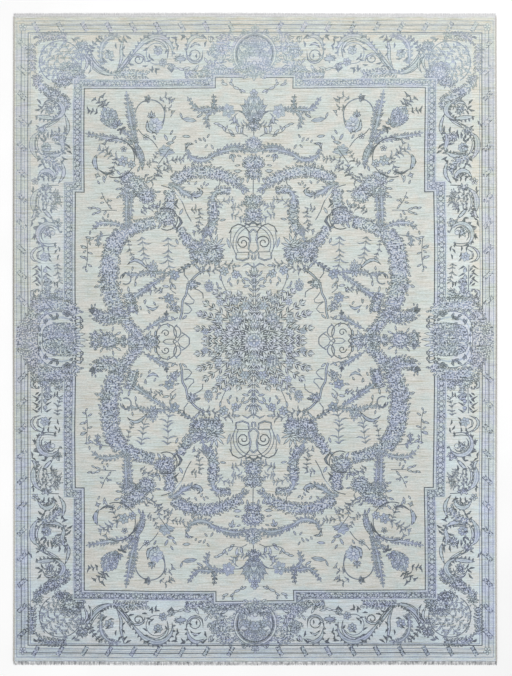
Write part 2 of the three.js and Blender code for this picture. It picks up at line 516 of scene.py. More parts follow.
def top_cartouche():
    """The flowers in their double ring at the middle of the end border, over the beaded guard."""
    garland([(51, 266), (43, 270), (36, 276), (31, 284), (31, 294)], 9, 32, PALE, SLATE, 2.9, 0.72)
    garland([(44, 283), (39, 292), (31, 298), (22, 304)], 7, 33, PALE, SLATE, 2.9, 0.72)
    clump((43, 269), 7, 5, 34, PALE, SLATE, 0.64)
    clump((39, 288), 5, 6, 35, PALE, SLATE, 0.64)
    scatter([(47, 276, 60, 7), (46, 283, 110, 7), (33, 286, 80, 8), (31, 278, 100, 8), (33, 300, 20, 7),
             (44, 296, 100, 7), (36, 303, 160, 7), (27, 271, 20, 8)], PALE)
    disc((0, 285.2), 24.5, LEAFY + 0.84, LEAFY + 0.84, 28)
    for k in range(15):
        turn = math.radians(96 - k * 13)
        leaf(toward((0, 285.2), turn, 22), turn - 0.5 + k % 2, 6, 2.8, PALE, SLATE)
    ring((0, 285.2), 20.4, 3.0, CREAM, SLATE, 90, -180)
    disc((0, 285.2), 18.6, CREAM, LINE, 28, 1.0)
    clump((8, 272), 9, 5, 36, PALE, SLATE, 0.60)
    clump((0, 268), 7, 4.5, 31, PALE, SLATE, 0.64)
    for aim, reach in ((82, 15), (58, 15), (34, 15), (8, 13), (-16, 12)):
        turn = math.radians(aim)
        sprig([toward((0, 285), turn, 4), toward((0, 285), turn, reach)], 3.4, MIST, SLATE)
    for across, along, size in ((0, 287, 5.4), (9.5, 284, 4.4), (7, 294, 3.8), (13.5, 277, 3.6)):
        rosette((across, along), size, 6, SKY, SLATE, PALE, along)
    palmette((0, 299), 90, 9, 10, 3, SKY, SLATE)
    disc((0, 276), 2.6, CREAM, SLATE)
    stem([(14, 306), (7, 304.6), (0, 305.5)], 0.8)


def end_border():
    """The scrolls of the end border, from the corner towards the middle."""
    clump((173, 294), 5, 4.5, 41)
    scroll([(171, 290), (166, 281), (159, 272), (149, 266.5), (139, 265)], 6, -1)
    crescent([(166, 291), (162, 281), (155, 273), (146, 269)], 2.6, PALE)
    crescent([(171, 286), (165, 275), (156, 267), (146, 264)], 2.2, PALE)
    garland([(142, 265.5), (131, 266.5), (120, 266), (108, 264.5)], 6, 42)
    buds([(128, 297, 30, 7, 50), (124, 301, 10, 7, 40)])
    plume([(153, 275), (155, 286), (152, 297), (144, 303), (137, 303)], 7.5)
    branch([(166, 288), (162, 295), (156, 301)], 5, PALE)
    rosette((146, 285), 5, 6, SKY)
    buds([(148, 277, 20, 8, 50), (141, 280, 340, 6, 50), (150, 290, 200, 6, 50), (139, 291, 60, 6, 50)])
    crescent([(131, 305), (134, 292), (134, 281), (139, 268)], 4.0)
    crescent([(124, 289), (128, 281), (134, 273), (140, 267)], 3.4)
    crescent([(121, 291), (124, 282), (131, 273), (137, 266)], 2.4, PALE)
    buds([(133, 297, 20, 7, 60), (134, 290, 160, 6, -60), (130, 283, 30, 6, 50)])
    scroll([(126, 281), (118, 291), (110, 299), (99, 303), (89, 300), (83, 292), (83, 283)], 6.5, -1)
    crescent([(108, 296), (100, 300), (91, 297), (87, 289), (88, 281)], 3.4, PALE)
    stem(arc((98.5, 286), 10.5, 150, -300, steps=10), 0.8, SLATE, SLATE, 3)
    rosette((97, 289), 4.8, 7, SKY)
    rosette((92, 277), 4.4, 6, SKY)
    buds([(108, 292, 300, 6, 50), (106, 286, 280, 6, -50), (104, 280, 320, 6, 50), (101, 294, 200, 5, 50),
          (90, 286, 100, 6, 60), (101, 279, 20, 5, 50), (106, 297, 330, 6, 40)])
    curl((117, 280.5), 5.6, 130, 430, 1.2, PALE)
    crescent([(127, 277), (121, 285), (112, 283), (110, 277)], 3.0)
    buds([(121, 275, 350, 7, 60), (113, 274, 200, 6, -50), (126, 272, 30, 6, -40)])
    buds([(103, 274, 250, 7, 50), (99, 272, 290, 7, -50), (106, 271, 200, 6, 50), (95, 271, 340, 6, 50)], SKY)
    fan((83, 276), 290, 120, 4, 8, 2.6, MIST)
    buds([(88, 272, 200, 7, 50), (80, 272, 330, 7, -50)])
    clump((75, 281), 5, 3.4, 44)
    leaf((80, 281), math.radians(185), 12, 5, SKY)
    crescent([(69, 291), (67, 281), (60, 276.5), (53, 280), (52, 289)], 2.6)
    scroll([(68, 289), (66, 298), (59, 303), (51, 300)], 5, -1)
    crescent([(65, 291), (60, 296), (54, 293)], 3.0, PALE)
    ring((60, 284), 5.4, 0.9, PALE)
    buds([(63, 286, 300, 5, 60), (58, 281, 60, 5, 60), (50, 292, 80, 7, 50), (48, 300, 20, 7, 60),
          (45, 303, 200, 6, 40)])
    buds([(80, 303, 240, 7, 50), (84, 302, 200, 7, -50), (74, 299, 110, 6, 50), (76, 293, 20, 6, 60),
          (70, 301, 60, 6, -50), (78, 289, 80, 6, 60), (112, 304, 190, 8, 30), (74, 305, 190, 6, 40)])
    scatter([(64, 272, 350, 8), (60, 269, 340, 8), (56, 275, 300, 8), (52, 271, 280, 8), (70, 269, 20, 8),
             (47, 274, 120, 7), (76, 271, 10, 7), (44, 296, 70, 8)], PALE)
    garland([(70, 264.5), (60, 266), (51, 264.5)], 5, 43)


def side_border():
    """The scrolls of the side border, from the corner towards the middle."""
    clump((202, 246), 8, 6, 51)
    clump((191, 236), 7, 8, 52)
    scroll([(211, 236), (204, 240.5), (195, 237), (191, 229), (196, 222), (206, 219)], 6)
    scroll([(199, 221), (209, 222), (220, 223)], 5.5, -1)
    crescent([(213, 230), (209, 237), (201, 236), (198, 229)], 2.8, PALE)
    clump((205.5, 230), 4.6, 4.6, 61)
    buds([(217, 234, 200, 7, 50), (220, 229, 190, 7, -50), (214, 225, 100, 6, 50), (218, 240, 210, 7, 40),
          (197, 244, 250, 7, 50), (192, 246, 270, 7, 50)])
    leaf((209.5, 211), math.radians(148), 19, 2.8, PALE)
    crescent([(213, 213), (203, 217), (194, 222)], 2.2, PALE)
    crescent([(190, 226), (187, 218), (186, 210), (188, 204)], 4.0)
    buds([(223, 219, 280, 7, 60), (219, 214, 200, 6, 50), (225, 216, 320, 6, -50), (196, 213, 240, 7, 50),
          (203, 210, 250, 7, 40), (190, 214, 250, 8, 30), (188, 203, 280, 6, 50)])
    clump((213, 209.5), 5, 3.6, 62)
    scroll([(213, 208), (220, 204), (223, 196), (221.5, 187), (216, 179)], 7, -1)
    crescent([(214, 205), (218.5, 198), (217.5, 190), (213, 184)], 3.0, PALE)
    rosette((208.5, 192), 5.2, 8, SKY)
    for k in range(7):
        turn = math.radians(20 + k * 26)
        hook(toward((205, 196), turn, 5), turn, 7.5, 2.6, 0.7, MIST)
    scroll([(190, 208), (193, 200), (191, 192), (192, 185)], 5.5, -1)
    clump((198, 203), 5, 4.5, 54)
    scroll([(212, 185), (204, 183.5), (196, 185), (190, 190)], 5, -1)
    crescent([(214, 189), (206, 186.5), (199, 188)], 2.4, PALE)
    buds([(189, 195, 190, 7, 60), (188, 189, 180, 7, 60), (193, 183, 230, 7, -50), (190, 181, 300, 6, 40),
          (212, 197, 150, 7, -50), (214, 192, 170, 6, -40)])
    garland([(214, 183), (206, 180), (199, 175), (195, 168)], 6, 55)
    buds([(214, 178, 210, 7, 50), (211, 174, 230, 7, 40), (217, 172, 120, 7, 50), (218, 178, 150, 6, -50),
          (206, 172, 240, 6, 50)])
    crescent([(194, 180), (191, 171), (192, 163), (197, 156)], 4.4)
    scroll([(218, 160), (214, 167), (207, 169), (201, 164), (202, 157)], 5.5)
    crescent([(214, 161), (209, 165), (205, 161)], 2.6, PALE)
    buds([(211, 158, 100, 6, -60), (206, 158, 60, 6, 60), (198, 163, 300, 6, 50), (199, 169, 20, 6, 50)])
    stem([(214, 154.5), (205, 154), (196, 154.5)], 0.8, LINE, LINE)
    clump((209, 152), 5, 2.8, 57)
    rosette((220, 158), 3.8, 5)
    buds([(222, 153, 250, 6, 50), (224, 149, 210, 6, 50)])
    scroll([(212, 152), (219, 147), (222, 139), (221, 130), (216, 122)], 6.5, -1)
    crescent([(213, 147), (217, 141), (217, 133), (213, 127)], 2.8, PALE)
    for points in (
        [(213, 143), (206, 147), (199, 147)],
        [(214, 140), (206, 141), (198, 143)],
        [(213, 136), (205, 134), (198, 137)],
        [(203, 130), (199, 136), (197, 142)],
    ):
        sprig(points, 3.8, PALE, LINE, 4.0)
    crescent([(213, 132), (208, 126), (202, 120)], 4.2)
    scroll([(221, 131), (220, 125), (224, 121)], 4.0, -1)
    buds([(208, 131, 320, 6, 50), (203, 126, 60, 7, 50), (210, 122, 250, 6, 50)])
    clump((198, 116.5), 4.6, 4, 58)
    buds([(223, 119, 250, 7, 60), (219, 122, 300, 6, 50), (222, 112, 190, 7, -60), (215, 117, 200, 7, 50),
          (214, 121, 160, 6, 50), (209, 117, 180, 6, 50)])
    scroll(arc((206, 104.5), 11.5, 170, -255, steps=9), 5.5)
    crescent(arc((206, 104.5), 8, 150, -200, steps=6), 2.4, PALE)
    clump((207.5, 107), 4, 4, 59)
    disc((202, 106.5), 2.6, CREAM, SLATE)
    buds([(221, 106, 240, 7, 50), (223, 101, 170, 6, -50), (218, 99, 220, 6, 50), (204, 101, 60, 5, 60)], SKY)
    for along in (96.5, 94):
        stem([(214, along), (206, along - 1), (198, along)], 0.9)
    crescent([(213, 93), (219, 91), (223.5, 85), (221, 79), (214, 76.5)], 3.4)
    crescent([(212, 90), (217, 87), (217, 81), (212, 78.5)], 2.4, PALE)
    rosette((210, 82.5), 5.0, 6, SKY, SLATE, MIST)
    buds([(211, 88, 100, 6, -60), (206, 88, 60, 6, 60), (204, 82, 40, 6, 60), (200, 86, 100, 6, 50),
          (197, 80, 80, 6, 50), (203, 78, 20, 5, 60), (199, 92, 60, 6, 50), (195, 88, 100, 6, -50)])
    stem([(213, 48), (213, 60), (213.5, 74)], 0.9)
    for along in (71, 64, 57.5):
        crescent([(214, along - 3.5), (218, along + 2), (223, along - 1)], 2.8)
        crescent([(212, along - 3.5), (208, along + 1.5), (203, along - 1.5)], 2.8)
        disc((209.5, along - 2.5), 2.2, SKY, SLATE, 6)
        hook((216, along - 4), math.radians(20), 5, 2.2, 0.6)
    sprig([(197, 76), (197, 68), (195, 60)], 3.6, MIST)
    scroll([(216, 50), (223, 48), (222, 41), (216, 39)], 4.0, -1)
    crescent([(212, 56), (207, 60), (202, 56)], 3.4, SKY)
    plume([(208, 40), (208, 48), (206, 57)], 8)
    buds([(200, 53, 100, 6, -50), (197, 52, 60, 6, 60), (194, 57, 190, 6, 50), (192, 52, 120, 6, 50)], PALE)
    clump((195.5, 45), 6.5, 6, 60)
    clump((209, 42), 9, 7, 63)
    garland([(224, 36), (216, 38), (206, 37), (196, 36)], 7, 64)


def side_medallion():
    """The round boss at the middle of the side border, over its frame lines."""
    garland([(224, 25), (217, 32), (207, 35), (195, 35), (184, 32), (178, 25)], 12, 71, ground=0.60)
    garland([(228, 16), (222, 25)], 9, 72)
    patch([(217, 0), (239, 0), (238, 12), (230, 20), (217, 20)], LEAFY + 0.60)
    for along in (3, 9, 15):
        for across in (223, 231):
            rosette((across + along * 0.2 - 2, along), 3.6, 6, PALE, SLATE, SKY)
    disc((202, 0), 27.5, LEAFY + 0.60, LEAFY + 0.60, 28)
    for k in range(15):
        turn = math.radians(k * 140 / 14)
        leaf(toward((202, 0), turn, 25), turn + (0.5 if k % 2 else -0.5), 5.6, 2.3, MIST, SLATE)
    points = [(180, 16.5), (188, 21), (198, 22), (207, 19.5), (213, 14), (215, 7), (215.5, 0)]
    stroke(points, lambda share: 2.6 + 3.8 * swell(share / 0.85) - 1.8 * max(0.0, 0.1 - share) / 0.1,
           CREAM, LINE, 3.0)
    disc((193, 0), 15.6, LEAFY + 0.55, LEAFY + 0.55, 20)
    curl((201, 13), 3.6, 60, 300, 1.6, CREAM, SLATE)
    for across, along, aim, length in (
        (207, 25, 200, 6.5), (199, 26.5, 235, 6), (193, 26, 180, 6.5), (186, 21, 200, 5),
        (212, 20, 230, 6.5), (204, 19.5, 150, 6.5), (216.5, 13, 250, 6.5), (215.5, 6, 250, 4),
        (202, 22.5, 190, 6), (190, 23, 150, 5), (209, 21, 260, 5.5),
    ):
        hook((across, along), math.radians(aim), length, 3.2, 0.6, BLUE)
    for k in range(10):
        turn = math.radians(10 + k * 18)
        leaf(toward((193, 0), turn, 7), turn + 0.5, 6, 2.2, MIST, SLATE)
    rosette((193.7, 0), 3.6, 4, CREAM, SLATE, SKY, 0)
    for along, reach in ((0, 15), (4.5, 12), (9, 9)):
        leaf((181, along), math.radians(180 - along * 2), reach, 3.6, PALE)
    for along in (14, 20):
        crescent([(181, along), (175, along + 2.5), (171.5, along - 2)], 4.0, PALE)
        curl((174, along - 1), 2.4, 120, 300, 1.0, MIST)


def leaf_wreath():
    """The large C-shaped garland of the field, with its plumes and clumps."""
    garland([(98.8, 118.9), (112.6, 115.4), (124.1, 110.9), (134.4, 103.4)], 12, 101)
    garland([(132, 107), (138.5, 99), (143, 88), (144.7, 76), (145, 63), (144, 51), (141, 40), (136, 31)],
            20, 102)
    garland([(137, 32), (131, 25.4), (124.1, 15.1), (118.3, 8.2)], 11, 103)
    clump((125.8, 161.5), 9, 8, 104)
    clump((118, 154), 12, 11, 105)
    clump((106.9, 145.3), 10, 9, 106)
    clump((126, 147), 8, 9, 107)
    plume([(127, 150), (127.5, 138), (128, 126), (128, 112)], 7, SKY)
    plume([(122, 148), (123, 136), (124, 124), (125, 114)], 5)
    scatter([(134, 158, 20, 7), (133, 165, 50, 7), (132, 152, -10, 7), (133, 145, -30, 6), (116, 168, 110, 7),
             (108, 157, 150, 7), (98, 148, 170, 6)])
    plume([(129, 112), (138, 116.5), (148, 117.5), (155.6, 116.6), (161, 112)], 6.5)
    garland([(147, 60), (152, 56), (155, 52)], 6, 108)


def field_sprays():
    """The sprays that stand free in the corners of the field."""
    palmette((146, 224), 58, 22, 20, 5, BLUE, LINE, 7)
    fan((136, 214), 60, 170, 5, 9, 3, BLUE)
    stem([(119, 192), (125, 203), (132, 212)], 0.9)
    fan((133, 212), 250, 160, 4, 8, 2.6, SLATE)
    for points in ([(151, 233), (155, 237), (159, 240)], [(148, 234), (150, 238), (152, 242)],
                   [(157, 227), (161, 229), (164, 229)]):
        sprig(points, 3.4, SLATE, LINE, 3.4)
    plume([(117, 196), (122, 211), (125.5, 227), (128.5, 246)], 7, SKY)
    plume([(119, 198), (119, 212), (121, 226), (124, 238)], 4, PALE)
    plume([(120.7, 197), (135.4, 200.5), (152, 203), (166, 206)], 7)
    plume([(121, 200), (126, 206), (131, 209)], 5)
    crescent([(119.4, 199), (115, 190), (112, 182), (111, 170)], 7, SKY)
    plume([(118, 194), (113.5, 185), (111, 175)], 6, SKY)
    stem(arc((104.7, 225.3), 15, 215, -200, steps=9), 1.2, SLATE, SLATE, 3)
    stem([(90, 229), (90, 222), (92, 214), (99, 209)], 1.1, SLATE, SLATE, 3)
    stem([(116, 211), (112, 206), (108, 204), (101, 199), (96, 192)], 0.9)
    rosette((99.6, 214.5), 8, 8, MIST, SLATE, PALE)
    crescent([(107, 220), (106, 210), (98, 207)], 4, SKY)
    fan((103, 222), 90, 120, 5, 8, 2.6, SKY)
    fan((105, 241), 0, 130, 4, 8, 2.4, SKY)
    fan((110, 240), 160, 90, 3, 7, 2.2, SLATE)
    sprig([(95, 240), (90, 243), (84, 240)], 3.6, SKY)
    sprig([(91, 232), (86, 232), (83, 229)], 3.4, MIST, LINE, 3)
    rosette((108, 203), 3.4, 5, PALE)
    rosette((88.8, 189), 6.4, 6, SKY, SLATE, MIST)
    leaf((96, 189), math.radians(185), 18, 6.5, SKY)
    scatter([(98, 200, 60, 6), (97, 205, 70, 6), (80, 190, 10, 5), (86, 199, 60, 8), (82, 199, 130, 7),
             (79, 198, 350, 9), (72, 204, 185, 9), (88, 197, 200, 6), (84, 205, 120, 6)])
    ring((138.5, 182), 19.5, 1.0, SLATE, LINE, 60, 230)
    crescent([(157, 186), (160, 178), (156, 169)], 5.5, SKY)
    crescent([(126, 196), (119, 190), (117, 182)], 2.4, SLATE)
    sprig([(126, 177), (136, 182), (146, 186), (153, 190)], 4.6, SKY, SLATE, 4.4)
    sprig([(137, 182), (140, 174), (143, 168)], 3.8, SKY)
    sprig([(144, 186), (147, 190), (149, 195)], 3.4, SKY)
    crescent([(138, 170), (147, 166), (156, 171)], 2.2, SLATE)
    rosette((130.5, 179), 5.5, 6, SKY)
    rosette((122, 176), 4.4, 6, SKY)
    rosette((130, 191), 3.4, 5)
    scatter([(156, 168, 290, 7), (151, 165, 260, 8), (147, 166, 300, 7), (160, 166, 200, 7),
             (157, 160, 240, 5)], MIST)
    sprig([(90, 176), (82, 180), (72, 181)], 3.4, MIST)
    sprig([(107, 176), (101, 178), (97, 186)], 3.2)
    sprig([(108, 166), (103, 160), (97, 164), (95, 172)], 3.8, SKY)
    sprig([(96, 165), (90, 170), (84, 172)], 3.4, SKY)
    stem([(95, 176), (90, 183), (85, 190)], 0.9)


def axis_stack():
    """The palmettes and plumes about the long axis, from the far end inwards."""
    palmette((0, 233), 90, 28, 26, 6, BLUE, LINE, 7)
    for aim, length in ((12, 13), (40, 15), (66, 17)):
        fan((3, 226), aim, 26, 3, length, 3.0, SKY, SLATE)
    rosette((0, 246), 4.4, 6, SKY, LINE, MIST)
    fan((0, 222), 270, 150, 5, 11, 3, BLUE)
    stem([(9, 226), (14, 229), (20, 229), (25, 228)])
    rosette((26, 229), 7.0, 6, SKY, SLATE, PALE)
    plume([(30, 231), (44, 231), (57, 230), (66, 241)], 6, SKY)
    plume([(42, 231), (40, 237), (41, 245)], 4.5, SLATE, LINE)
    plume([(36, 230), (46, 226), (48, 219), (45, 212)], 5.5, SKY)
    lens((65, 220), 0.15, 16, 5.5, SKY)
    leaf((58, 222), 2.6, 8, 3, SKY)
    leaf((72, 221), 1.2, 7, 2.6, SKY)
    scatter([(8, 247, 30, 7), (14, 250, 20, 8), (20, 253, 40, 7), (26, 254, 20, 8), (30, 256, 60, 5),
             (23, 256, 100, 5), (12, 246, 60, 5)], MIST)
    sprig([(6, 216), (14, 214), (20, 220)], 4.6, SKY, SLATE, 4.5)
    stem([(28, 208), (20, 206), (12, 207), (6, 204)], 0.8)
    scatter([(28, 208, 60, 8), (20, 206, 40, 8), (16, 207, 80, 9), (13, 206, 100, 8), (24, 206, 200, 6),
             (30, 213, 20, 8), (26, 215, 300, 6), (34, 216, 5, 7), (20, 216, 95, 9)], MIST)
    stem([(0, 222), (0, 205)], 0.9)
    clump((0, 214), 7, 4, 112, BLUE)
    palmette((0, 197), 90, 16, 18, 4, SKY, SLATE, 7)
    clump((0, 196), 9, 7, 113, SKY, SLATE, SKY)
    plume([(66, 191), (65, 185), (57, 180.5), (47, 180.5), (40, 186), (34, 189)], 7.5, SKY)
    crescent([(68, 190), (66, 196), (60, 196)], 3.4, SKY)
    scatter([(66, 192, 60, 6), (63, 195, 30, 5), (57, 197, 60, 4), (52, 199, 40, 5), (48, 198, 60, 6),
             (46, 196, 310, 5), (47, 202, 120, 5), (40, 191, 60, 6), (52, 176, 280, 5),
             (60, 177, 250, 5)], MIST)
    plume([(37, 187), (28, 190), (18, 192), (8, 190)], 8, SKY)
    plume([(30, 192), (20, 195), (10, 194)], 4)
    fan((22, 187), 255, 70, 3, 9, 3.2, SKY)
    clump((0, 178), 12, 8, 114)
    clump((0, 167), 9, 5, 115, MIST)
    scatter([(12, 184, 20, 5), (13, 176, 350, 6), (12, 170, 340, 6), (20, 170, 180, 9),
             (9, 163, 300, 7)], MIST)
    garland([(80, 158), (69.9, 165), (55.6, 169), (41.2, 168.5), (28, 165), (14, 158)], 11.5, 116)
    plume([(85, 156), (76, 154), (69, 148), (60, 145.5), (53, 149)], 8, SKY)
    crescent([(63, 147), (57, 144.5), (51, 149), (56, 153)], 4, SKY)
    scatter([(50, 152, 60, 5), (52, 148, 10, 5), (56, 160, 300, 5), (48, 160, 290, 5), (44, 158, 320, 5),
             (66, 160, 230, 5), (62, 174, 110, 5), (70, 171, 120, 5), (80, 166, 150, 6)], MIST)
    plume([(14, 158), (10, 153), (5, 150)], 5, SKY)
    scatter([(12, 152, 240, 7), (6, 158, 100, 7), (8, 146, 250, 6)])
    stem([(0, 162), (0, 150), (0, 138)], 0.9)
    stem([(34, 164), (33, 158), (35, 154)], 0.9)


def inner_foliage():
    """The foliage between the wreath and the medallion, on the far side."""
    stem([(92, 155), (82.5, 152), (74, 144), (69.5, 136), (67, 129), (62, 120)])
    stem([(86, 156), (78, 149), (71, 140)], 0.8, CREAM, MIST)
    garland([(84, 151), (83, 140), (84, 129), (84, 116)], 11, 121)
    clump((89, 124), 11, 8, 122)
    ring((87, 122), 11, 1.1, SLATE, LINE, 60, 240)
    crescent([(76, 126), (72, 119), (78, 112)], 3.4, SLATE)
    crescent([(75, 142), (78, 136), (74, 132)], 3.0, SLATE)
    garland([(73, 114), (70, 106), (64, 99), (56, 93)], 9, 123)
    scatter([(76, 112, 20, 6), (78, 103, 250, 7), (72, 101, 240, 7), (96, 112, 120, 8), (99, 132, 150, 7),
             (104, 135, 180, 8), (94, 135, 100, 6), (112, 133, 190, 6), (70, 133, 300, 8)])
    sprig([(113, 128), (106, 132), (98, 134), (90, 131)], 3.8, MIST)
    plume([(22, 150), (34, 151), (40, 145), (40, 136), (40, 124), (42, 113), (47, 106)], 9, SKY)
    garland([(41, 140), (40, 128), (41, 116), (46, 108)], 9, 124, SKY)
    garland([(22, 150), (30, 151), (36, 150)], 5, 125, SKY)
    sprig([(62, 131), (55, 132), (53, 125), (55, 117)], 3.6, MIST)
    sprig([(48, 108), (53, 112), (58, 110)], 3.8, SKY)
    sprig([(36, 134), (30, 140), (22, 141)], 3.8, PALE, SLATE)
    sprig([(22, 134), (16, 134), (10, 137)], 3.6, MIST, SLATE)
    sprig([(22, 127), (14, 124), (8, 121)], 4.2, SKY, SLATE)
    scatter([(34, 131, 280, 6), (33, 123, 340, 8), (36, 120, 350, 10), (27, 122, 350, 7), (37, 112, 280, 6),
             (45, 120, 190, 5), (46, 128, 180, 6)])
    clump((0, 127), 9, 9, 126, SKY)
    clump((3, 140), 6, 6, 127, MIST)
    clump((49, 88), 17, 12, 128)
    clump((58, 94), 8, 6, 129, SKY)
    clump((40, 86), 10, 9, 130, SKY)
    fan((40, 93), 120, 190, 8, 16, 3.2, MIST)
    fan((36, 95), 20, 70, 4, 12, 2.8)
    plume([(52, 96), (50, 104), (46, 112)], 5, SKY)
    scatter([(66, 90, 170, 7), (65, 84, 200, 7), (60, 78, 230, 8), (52, 76, 250, 7), (44, 76, 280, 7),
             (34, 80, 320, 8), (31, 85, 340, 7), (32, 91, 10, 8)])


def strapwork():
    """The interlaced straps on the long axis."""
    strap = dict(width=2.0, fill=MIST, edge=SLATE * 0.7)
    for radius in (20.5, 17.5):
        stem(arc((0, 97), radius, 90, -118, steps=9), 0.9, SLATE, SLATE, 3)
    curl((10.2, 98), 7.4, 180, -560)
    stem([(0, 112), (4, 108), (3, 101), (5, 92), (0, 87)], **strap)
    stem([(17, 88.6), (10, 88.6), (4, 88.6)], 0.8, SLATE, LINE)
    stem([(18, 88), (17.5, 82), (11, 80.2), (5.5, 82.5), (4.5, 88)], **strap)
    stem([(2, 86), (1.5, 82), (0, 81)], **strap)
    stem([(24, 108), (21, 114), (15, 117), (8, 114), (4, 109)], 1.2, SLATE, LINE)
    stem([(22, 110), (23, 100), (20, 92)], 0.9, MIST, SLATE)
    crescent([(9, 118), (4, 116), (0, 120)], 3, SKY)
    lens((25, 98), 1.3, 12, 3.4, SKY, SLATE)


def side_foliage():
    """The foliage between the wreath and the medallion, towards the side."""
    stem([(137.5, 130), (145, 130), (153, 129.6)], 0.8)
    stem([(142.4, 131), (149, 139), (152.8, 148)], 0.8)
    scatter([(153, 130, 20, 7), (153, 129, 340, 7), (158, 132, 10, 6), (158, 128, 330, 6),
             (162, 131, 20, 6), (148, 130, 300, 6), (150, 138, 350, 5), (147, 137, 100, 5),
             (143, 131, 60, 6), (150, 144, 330, 5), (152, 124, 260, 4), (146, 127, 280, 5),
             (142, 140, 350, 4)], MIST)
    stem([(140, 105.6), (150, 104.8), (160, 103)], 0.8)
    scatter([(156, 104, 280, 8), (160, 103, 330, 7), (163, 102, 10, 7), (165, 105, 100, 5),
             (166, 100, 250, 6), (158, 98, 200, 6), (152, 105, 60, 5), (146, 103, 290, 5)], MIST)
    plume([(152, 106), (157, 101), (156, 93)], 4.5, SKY)
    stem([(168, 104), (167, 92), (167, 80), (169, 70)], 0.8)
    scatter([(167, 92, 20, 8), (174, 93, 190, 7), (167, 88, 200, 6), (168, 90, 320, 5), (167, 79, 60, 6),
             (167, 76, 210, 6), (168, 74, 330, 5), (175, 84, 200, 7), (169, 71, 240, 4)], MIST)
    sprig([(125.8, 100.5), (125, 92), (122, 84)], 2.6, MIST, LINE, 4.2)
    sprig([(112.6, 104), (111, 94), (110, 84), (107, 77)], 5.2, SKY, SLATE, 5.5)
    sprig([(86, 104), (85.5, 92), (86.5, 82), (84, 72)], 5.4, SKY, SLATE, 5.5)
    crescent([(127, 76), (120, 81), (112, 78), (106, 71)], 4, SKY)
    plume([(103, 70), (112, 67.5), (120, 66), (128, 68)], 5.5)
    plume([(104, 68), (95, 69.5), (85, 68)], 5, SKY)
    palmette((101, 75), 92, 14, 10, 3, SKY, SLATE)
    fan((101, 70), 270, 120, 4, 8, 3, SKY)
    stem([(84, 68), (78, 68), (70, 70)], 0.9)
    stem([(110, 72), (118, 64), (119, 57)], 0.8)
    rosette((79.7, 66.5), 5.4, 6, BLUE)
    crescent([(132, 62), (129, 68), (124, 66)], 2.6, SLATE)
    ring((128.5, 62), 5.5, 1.4, MIST, SLATE, 0, 300)
    scatter([(122, 70, 100, 5), (134, 71, 20, 6), (133, 60, 300, 6), (126, 55, 260, 7), (132, 53, 280, 6),
             (126, 48, 200, 6), (118, 60, 280, 6)], MIST)
    plume([(89, 65), (100, 58.5), (108, 52), (114, 46)], 6, SKY)
    plume([(104, 56), (112, 50), (119, 45), (122, 38), (118, 30)], 7.5, SKY)
    clump((122, 36), 6, 7, 131, SKY)
    garland([(127, 48), (124, 40), (121, 30)], 7, 132, MIST)
    sprig([(92, 49), (97, 53), (102, 51)], 3.6, MIST)
    crescent([(95, 36), (101, 32), (108, 36)], 3.4, SKY, SLATE)
    scatter([(109, 37, 100, 6), (106, 32, 240, 5), (98, 36, 60, 5), (110, 42, 250, 5),
             (114, 36, 250, 5)], MIST)
    clump((136, 27), 8, 6, 133, SKY)
    garland([(134, 24), (146, 20.5), (156, 23), (161, 28), (158, 32)], 8.5, 134, SKY)
    garland([(140, 28), (149, 25), (157, 26)], 7, 135, SKY)
    fan((160, 29), 20, 110, 5, 7, 2.4, SLATE)
    palmette((147, 0), 90, 16, 12, 4, BLUE)
    clump((146, 0), 11, 9, 136, BLUE)
    clump((160, 4), 5, 5, 137, MIST)
    clump((130, 0), 6, 5, 138, SKY)
    scatter([(139, 6, 150, 7), (134, 4, 160, 6), (152, 7, 60, 6), (142, 9, 100, 6)], MIST)
    garland([(126, 0), (115, 0), (103, 0), (96, 0)], 12, 139, SKY)
    fan((118, 3), 80, 100, 4, 9, 3, SKY)
    fan((106, 3), 110, 60, 3, 9, 3, MIST)
    garland([(122, 14), (115, 8), (112, 2)], 7, 140, SKY)


